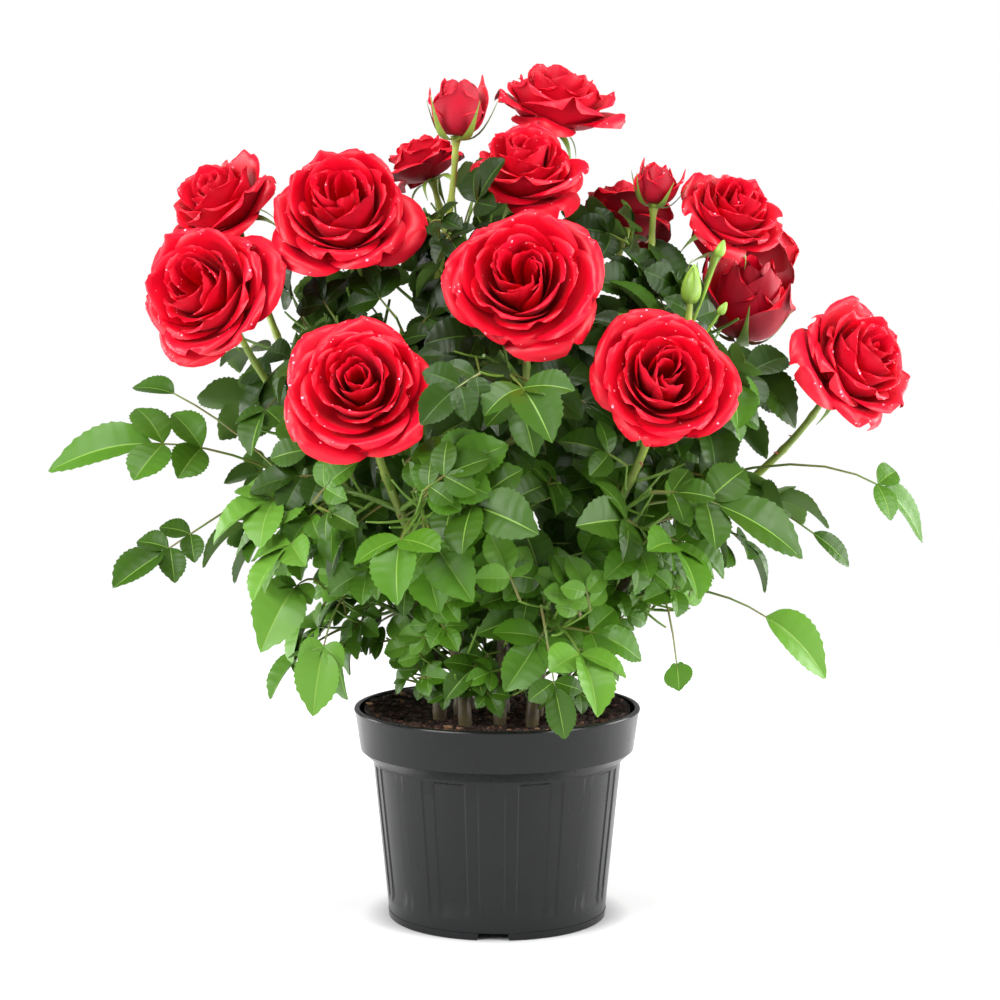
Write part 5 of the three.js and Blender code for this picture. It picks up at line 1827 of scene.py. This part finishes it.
def nearest_mass(point):
    """The mass of foliage whose middle lies nearest."""
    return masses[int(np.argmin(np.linalg.norm(CENTRES - point, axis=1)))]


further = 0
for order in range(GROWTH["rounds"]):
    for number, (bend, first, last) in enumerate(axes):
        share = 1 - 0.3 * random() if order == 0 else random()
        turn = (order + number) * GOLDEN_TURN
        leaf = finer_leaf(bend, first + (last - first) * share, turn, random)
        tip = leaf_point(leaf, 0, leaf["stalk"] + leaf["blade"])[None]
        if is_taken(tip) or not has_room(tip, GROWTH["tip_room"]):
            continue
        blades = leaf_spots(leaf)[1]
        if left_open(blades.mean(axis=0), random) or hides_stem(blades):
            continue
        if is_taken(blades) or not has_room(blades, GROWTH["blade_room"]):
            continue
        take_cubes(blades)
        nearest_mass(blades.mean(axis=0))["leaves"].append(leaf)
        further += 1
print("Further leaves", further)

# %% [markdown]
# ## Leaflets
# A rose's leaf is a stalk with three or five leaflets. A leaflet is an oval blade with a toothed margin,
# a sunk pale midrib, and skin that bulges between its slanting side veins. It could be a flat card
# with a picture, but it would look like paper from the side and its teeth would blur. Here each
# is a closed blade of under three hundred triangles: a face with relief and a paler back on one rim.

# %% The shape of one leaflet
LEAFLET = {
    "rows": 19,
    "midrib": 0.035,
    "vein_column": 0.48,
    "slant": 0.13,
    "tooth": 0.032,
    "vein_rows": 3.4,
    "quilt": 0.013,
    "groove": 0.012,
    "belly": 0.034,
    "slender": 0.72,
    "share": 0.6,
}
TOP, MIDRIB, UNDER = range(3)


def leaflet_shape():
    """Corners of a leaflet one long and one wide, as across, along and height, with its faces."""
    rows = LEAFLET["rows"]
    columns = np.array([-1, -LEAFLET["vein_column"], -LEAFLET["midrib"]])
    columns = np.concatenate([columns, -columns[::-1]])
    share = np.linspace(0, 1, rows + 2)[1:-1, None]
    parity = np.where(np.arange(rows) % 2 == 0, 1.0, -1.0)[:, None]
    width = share**0.5 * (1 - share) ** 0.62
    width = width / width.max() * (1 - 0.42 * np.clip((share - 0.76) / 0.24, 0, 1) ** 1.5)
    is_margin = np.abs(columns)[None] == 1
    across = columns * width / 2 * (1 + is_margin * LEAFLET["tooth"] * parity)
    along = share + LEAFLET["slant"] * np.abs(columns) * width * (1 - share)
    along = along + is_margin * parity * 0.009
    is_vein = np.abs(columns)[None] == LEAFLET["vein_column"]
    is_midrib = np.abs(columns)[None] == LEAFLET["midrib"]
    swell = 1 + np.cos(2 * math.pi * np.arange(rows) / LEAFLET["vein_rows"])[:, None]
    height = is_vein * swell * LEAFLET["quilt"] * width - is_midrib * LEAFLET["groove"]
    top = np.stack([across, along, np.broadcast_to(height, along.shape)], axis=-1).reshape(-1, 3)
    middle = np.zeros((rows, 1))
    belly = np.hstack([middle, share, middle - LEAFLET["belly"]])
    points = np.vstack([top, belly, [[0, 0, -0.005], [0, 1, 0]]])
    grid = np.arange(rows * 6).reshape(rows, 6)
    back = rows * 6 + np.arange(rows)
    foot, tip = rows * 7, rows * 7 + 1
    quads = grid_faces(grid)
    left = np.stack([grid[:-1, 0], grid[1:, 0], back[1:], back[:-1]], axis=-1)
    right = np.stack([back[:-1], back[1:], grid[1:, 5], grid[:-1, 5]], axis=-1)
    fans = [(foot, grid[0, i + 1], grid[0, i]) for i in range(5)]
    fans += [(tip, grid[-1, i], grid[-1, i + 1]) for i in range(5)]
    fans += [(foot, grid[0, 0], back[0]), (foot, back[0], grid[0, 5])]
    fans += [(tip, back[-1], grid[-1, 0]), (tip, grid[-1, 5], back[-1])]
    strip = np.tile([TOP, TOP, MIDRIB, TOP, TOP], rows + 1)
    kinds = [strip[: len(quads)], np.full(len(left) + len(right), UNDER), strip[:10], np.full(4, UNDER)]
    return points, np.vstack([quads, left, right]), np.array(fans), np.concatenate(kinds)


LEAFLET_POINTS, LEAFLET_QUADS, LEAFLET_FANS, LEAFLET_KINDS = leaflet_shape()
print("A leaflet has", 2 * len(LEAFLET_QUADS) + len(LEAFLET_FANS), "triangles")

# %% The greens of the leaves, and one leaf from its leaflets
# Five greens from deep to light. Which one a leaf gets is partly chance and partly painted light and shade,
# by its place in the crown
leaf_finishes = [
    leaf_finish("leaf_deep", "1a2c05"),
    leaf_finish("leaf_dark", "243e08"),
    leaf_finish("leaf_mid", "32530e"),
    leaf_finish("leaf_lit_green", "426c16"),
    leaf_finish("leaf_light", "548026"),
    leaf_finish("leaf_dark_midrib", "3c5a1c"),
    leaf_finish("leaf_light_midrib", "6c9038"),
    leaf_finish("leaf_under", "587832", 0.5),
]
TWIG_SKIN, STALK_SKIN = range(2)
GREENS = 5
# Painted light and shade: a leaf's green steps lighter toward the crown's outside and lower down, and darker
# inside and higher up, with some chance
PAINTED_LEAF_LIGHT = {
    "least": 0.1,
    "outside": 2.2,
    "chance": 2.0,
    "heights": [200, 260, 320, 360, 430],
    "by_height": [2.2, 1.5, 0.6, 0.0, -0.7],
}


def add_leaflet(heap, leaf, foot, turn, length, colour, random):
    """One leaflet in its leaf's plane, with a fold, a droop and a roll of its own."""
    wide = length * LEAFLET["slender"] * (0.92 + 0.16 * random())
    if "given_width" in leaf and abs(turn) < 0.5:
        wide = leaf["given_width"]
    fold, droop = 0.14 + 0.28 * random(), 0.08 + 0.24 * random()
    roll, lift = 0.5 * (random() - 0.5), 0.3 * (random() - 0.5)
    wave, phase = 0.02 * random(), 6.3 * random()
    across = LEAFLET_POINTS[:, 0] * wide
    along = LEAFLET_POINTS[:, 1] * length
    share = LEAFLET_POINTS[:, 1]
    height = LEAFLET_POINTS[:, 2] * length + fold * np.abs(across) - droop * share**2 * length
    height = height + lift * along + wave * length * np.sin(share * 9 + phase) * LEAFLET_POINTS[:, 0] * 2
    height, across = height * math.cos(roll) + across * math.sin(roll), across * math.cos(roll)
    x = math.sin(turn) * along + math.cos(turn) * across
    y = foot + math.cos(turn) * along - math.sin(turn) * across
    # The midrib's paleness is its own; which of its two greens it takes follows the leaf's painted light and
    # shade
    midrib = GREENS if colour < 2 else GREENS + 1
    kinds = np.choose(LEAFLET_KINDS, [colour, midrib, GREENS + 2])
    heap.add(leaf_point(leaf, x, y, height), LEAFLET_QUADS, LEAFLET_FANS, finish=kinds)


def add_leaf(heap, stalks, leaf, random):
    """The leaflets of one leaf, all of one green that carries painted light and shade by the leaf's place,
    and its stalk.
    """
    root = leaf["root"]
    whole = leaf["stalk"] + leaf["blade"]
    if "given_width" in leaf:
        stalk = leaf["stalk"]
        blade = whole - stalk
    else:
        stalk = whole * (1 - LEAFLET["share"])
        blade = (whole - stalk) * np.interp(root[2], [440, 490], [1, 0.74])
    # Painted light and shade: the green is lighter toward the outside of the crown and lower down, with some
    # chance
    outside = math.hypot(root[0], root[1] * CROWN["width"] / CROWN["depth"]) / CROWN["width"]
    by_height = np.interp(root[2], PAINTED_LEAF_LIGHT["heights"], PAINTED_LEAF_LIGHT["by_height"])
    light = PAINTED_LEAF_LIGHT["least"] + PAINTED_LEAF_LIGHT["outside"] * outside + by_height
    light = light + PAINTED_LEAF_LIGHT["chance"] * (random() - 0.5)
    colour = int(np.clip(round(light), 0, GREENS - 1))
    add_leaflet(heap, leaf, stalk, 0.15 * (random() - 0.5), blade, colour, random)
    for pair in range(leaf["pairs"]):
        foot = max(2.5, stalk - blade * (0.12 + 0.4 * pair))
        size = leaf["side_size"] - LEAF["side_shrink"] * pair * (0.3 if "given_width" in leaf else 1)
        for side in (-1, 1):
            turn = side * math.radians(LEAF["side_turn"] - 10 * random())
            add_leaflet(heap, leaf, foot + 1.5 * random(), turn, blade * size, colour, random)
    line = np.array([leaf_point(leaf, 0, y) for y in np.linspace(0, stalk + 1.5, 6)])
    add_tube(stalks, line, np.linspace(1.0, 0.6, 6), 4, finish=STALK_SKIN)


print("Leaf finishes", len(leaf_finishes))

# %% Leaves mass by mass, their stalks and the twigs
LEAVES_SEED = 23
stalks = Heap()
leaf_triangles = 0
leaf_random = seeded_random(LEAVES_SEED)
for mass in masses:
    heap = Heap()
    for leaf in mass["leaves"]:
        add_leaf(heap, stalks, leaf, leaf_random)
    leaf_triangles += heap.triangles()
    name = mass["name"]
    piece_from(f"leaves_{name}", heap, leaf_finishes, [f"foliage_{name}"], sharp_angle=70)
for bend, root_radius in twigs:
    rings = max(4, round(bend.length / 7))
    radii = np.linspace(root_radius, root_radius * 0.62, rings)
    add_tube(stalks, bend.line(rings), radii, 6, finish=TWIG_SKIN)
twig_finishes = [
    finish("twig_green", "668a30", "4f6c26", spots=90, contrast=0.6, rough=(0.38, 0.5), bump=0.1),
    finish("leaf_stalk", "5f7a2c", "6e5a30", spots=60, contrast=0.8, rough=(0.38, 0.5), bump=0.1),
]
piece_from("twigs", stalks, twig_finishes, sharp_angle=60)
leaf_count = sum(len(mass["leaves"]) for mass in masses)
print("Leaves", leaf_count, "with", leaf_triangles, "triangles; twigs and stalks", stalks.triangles())
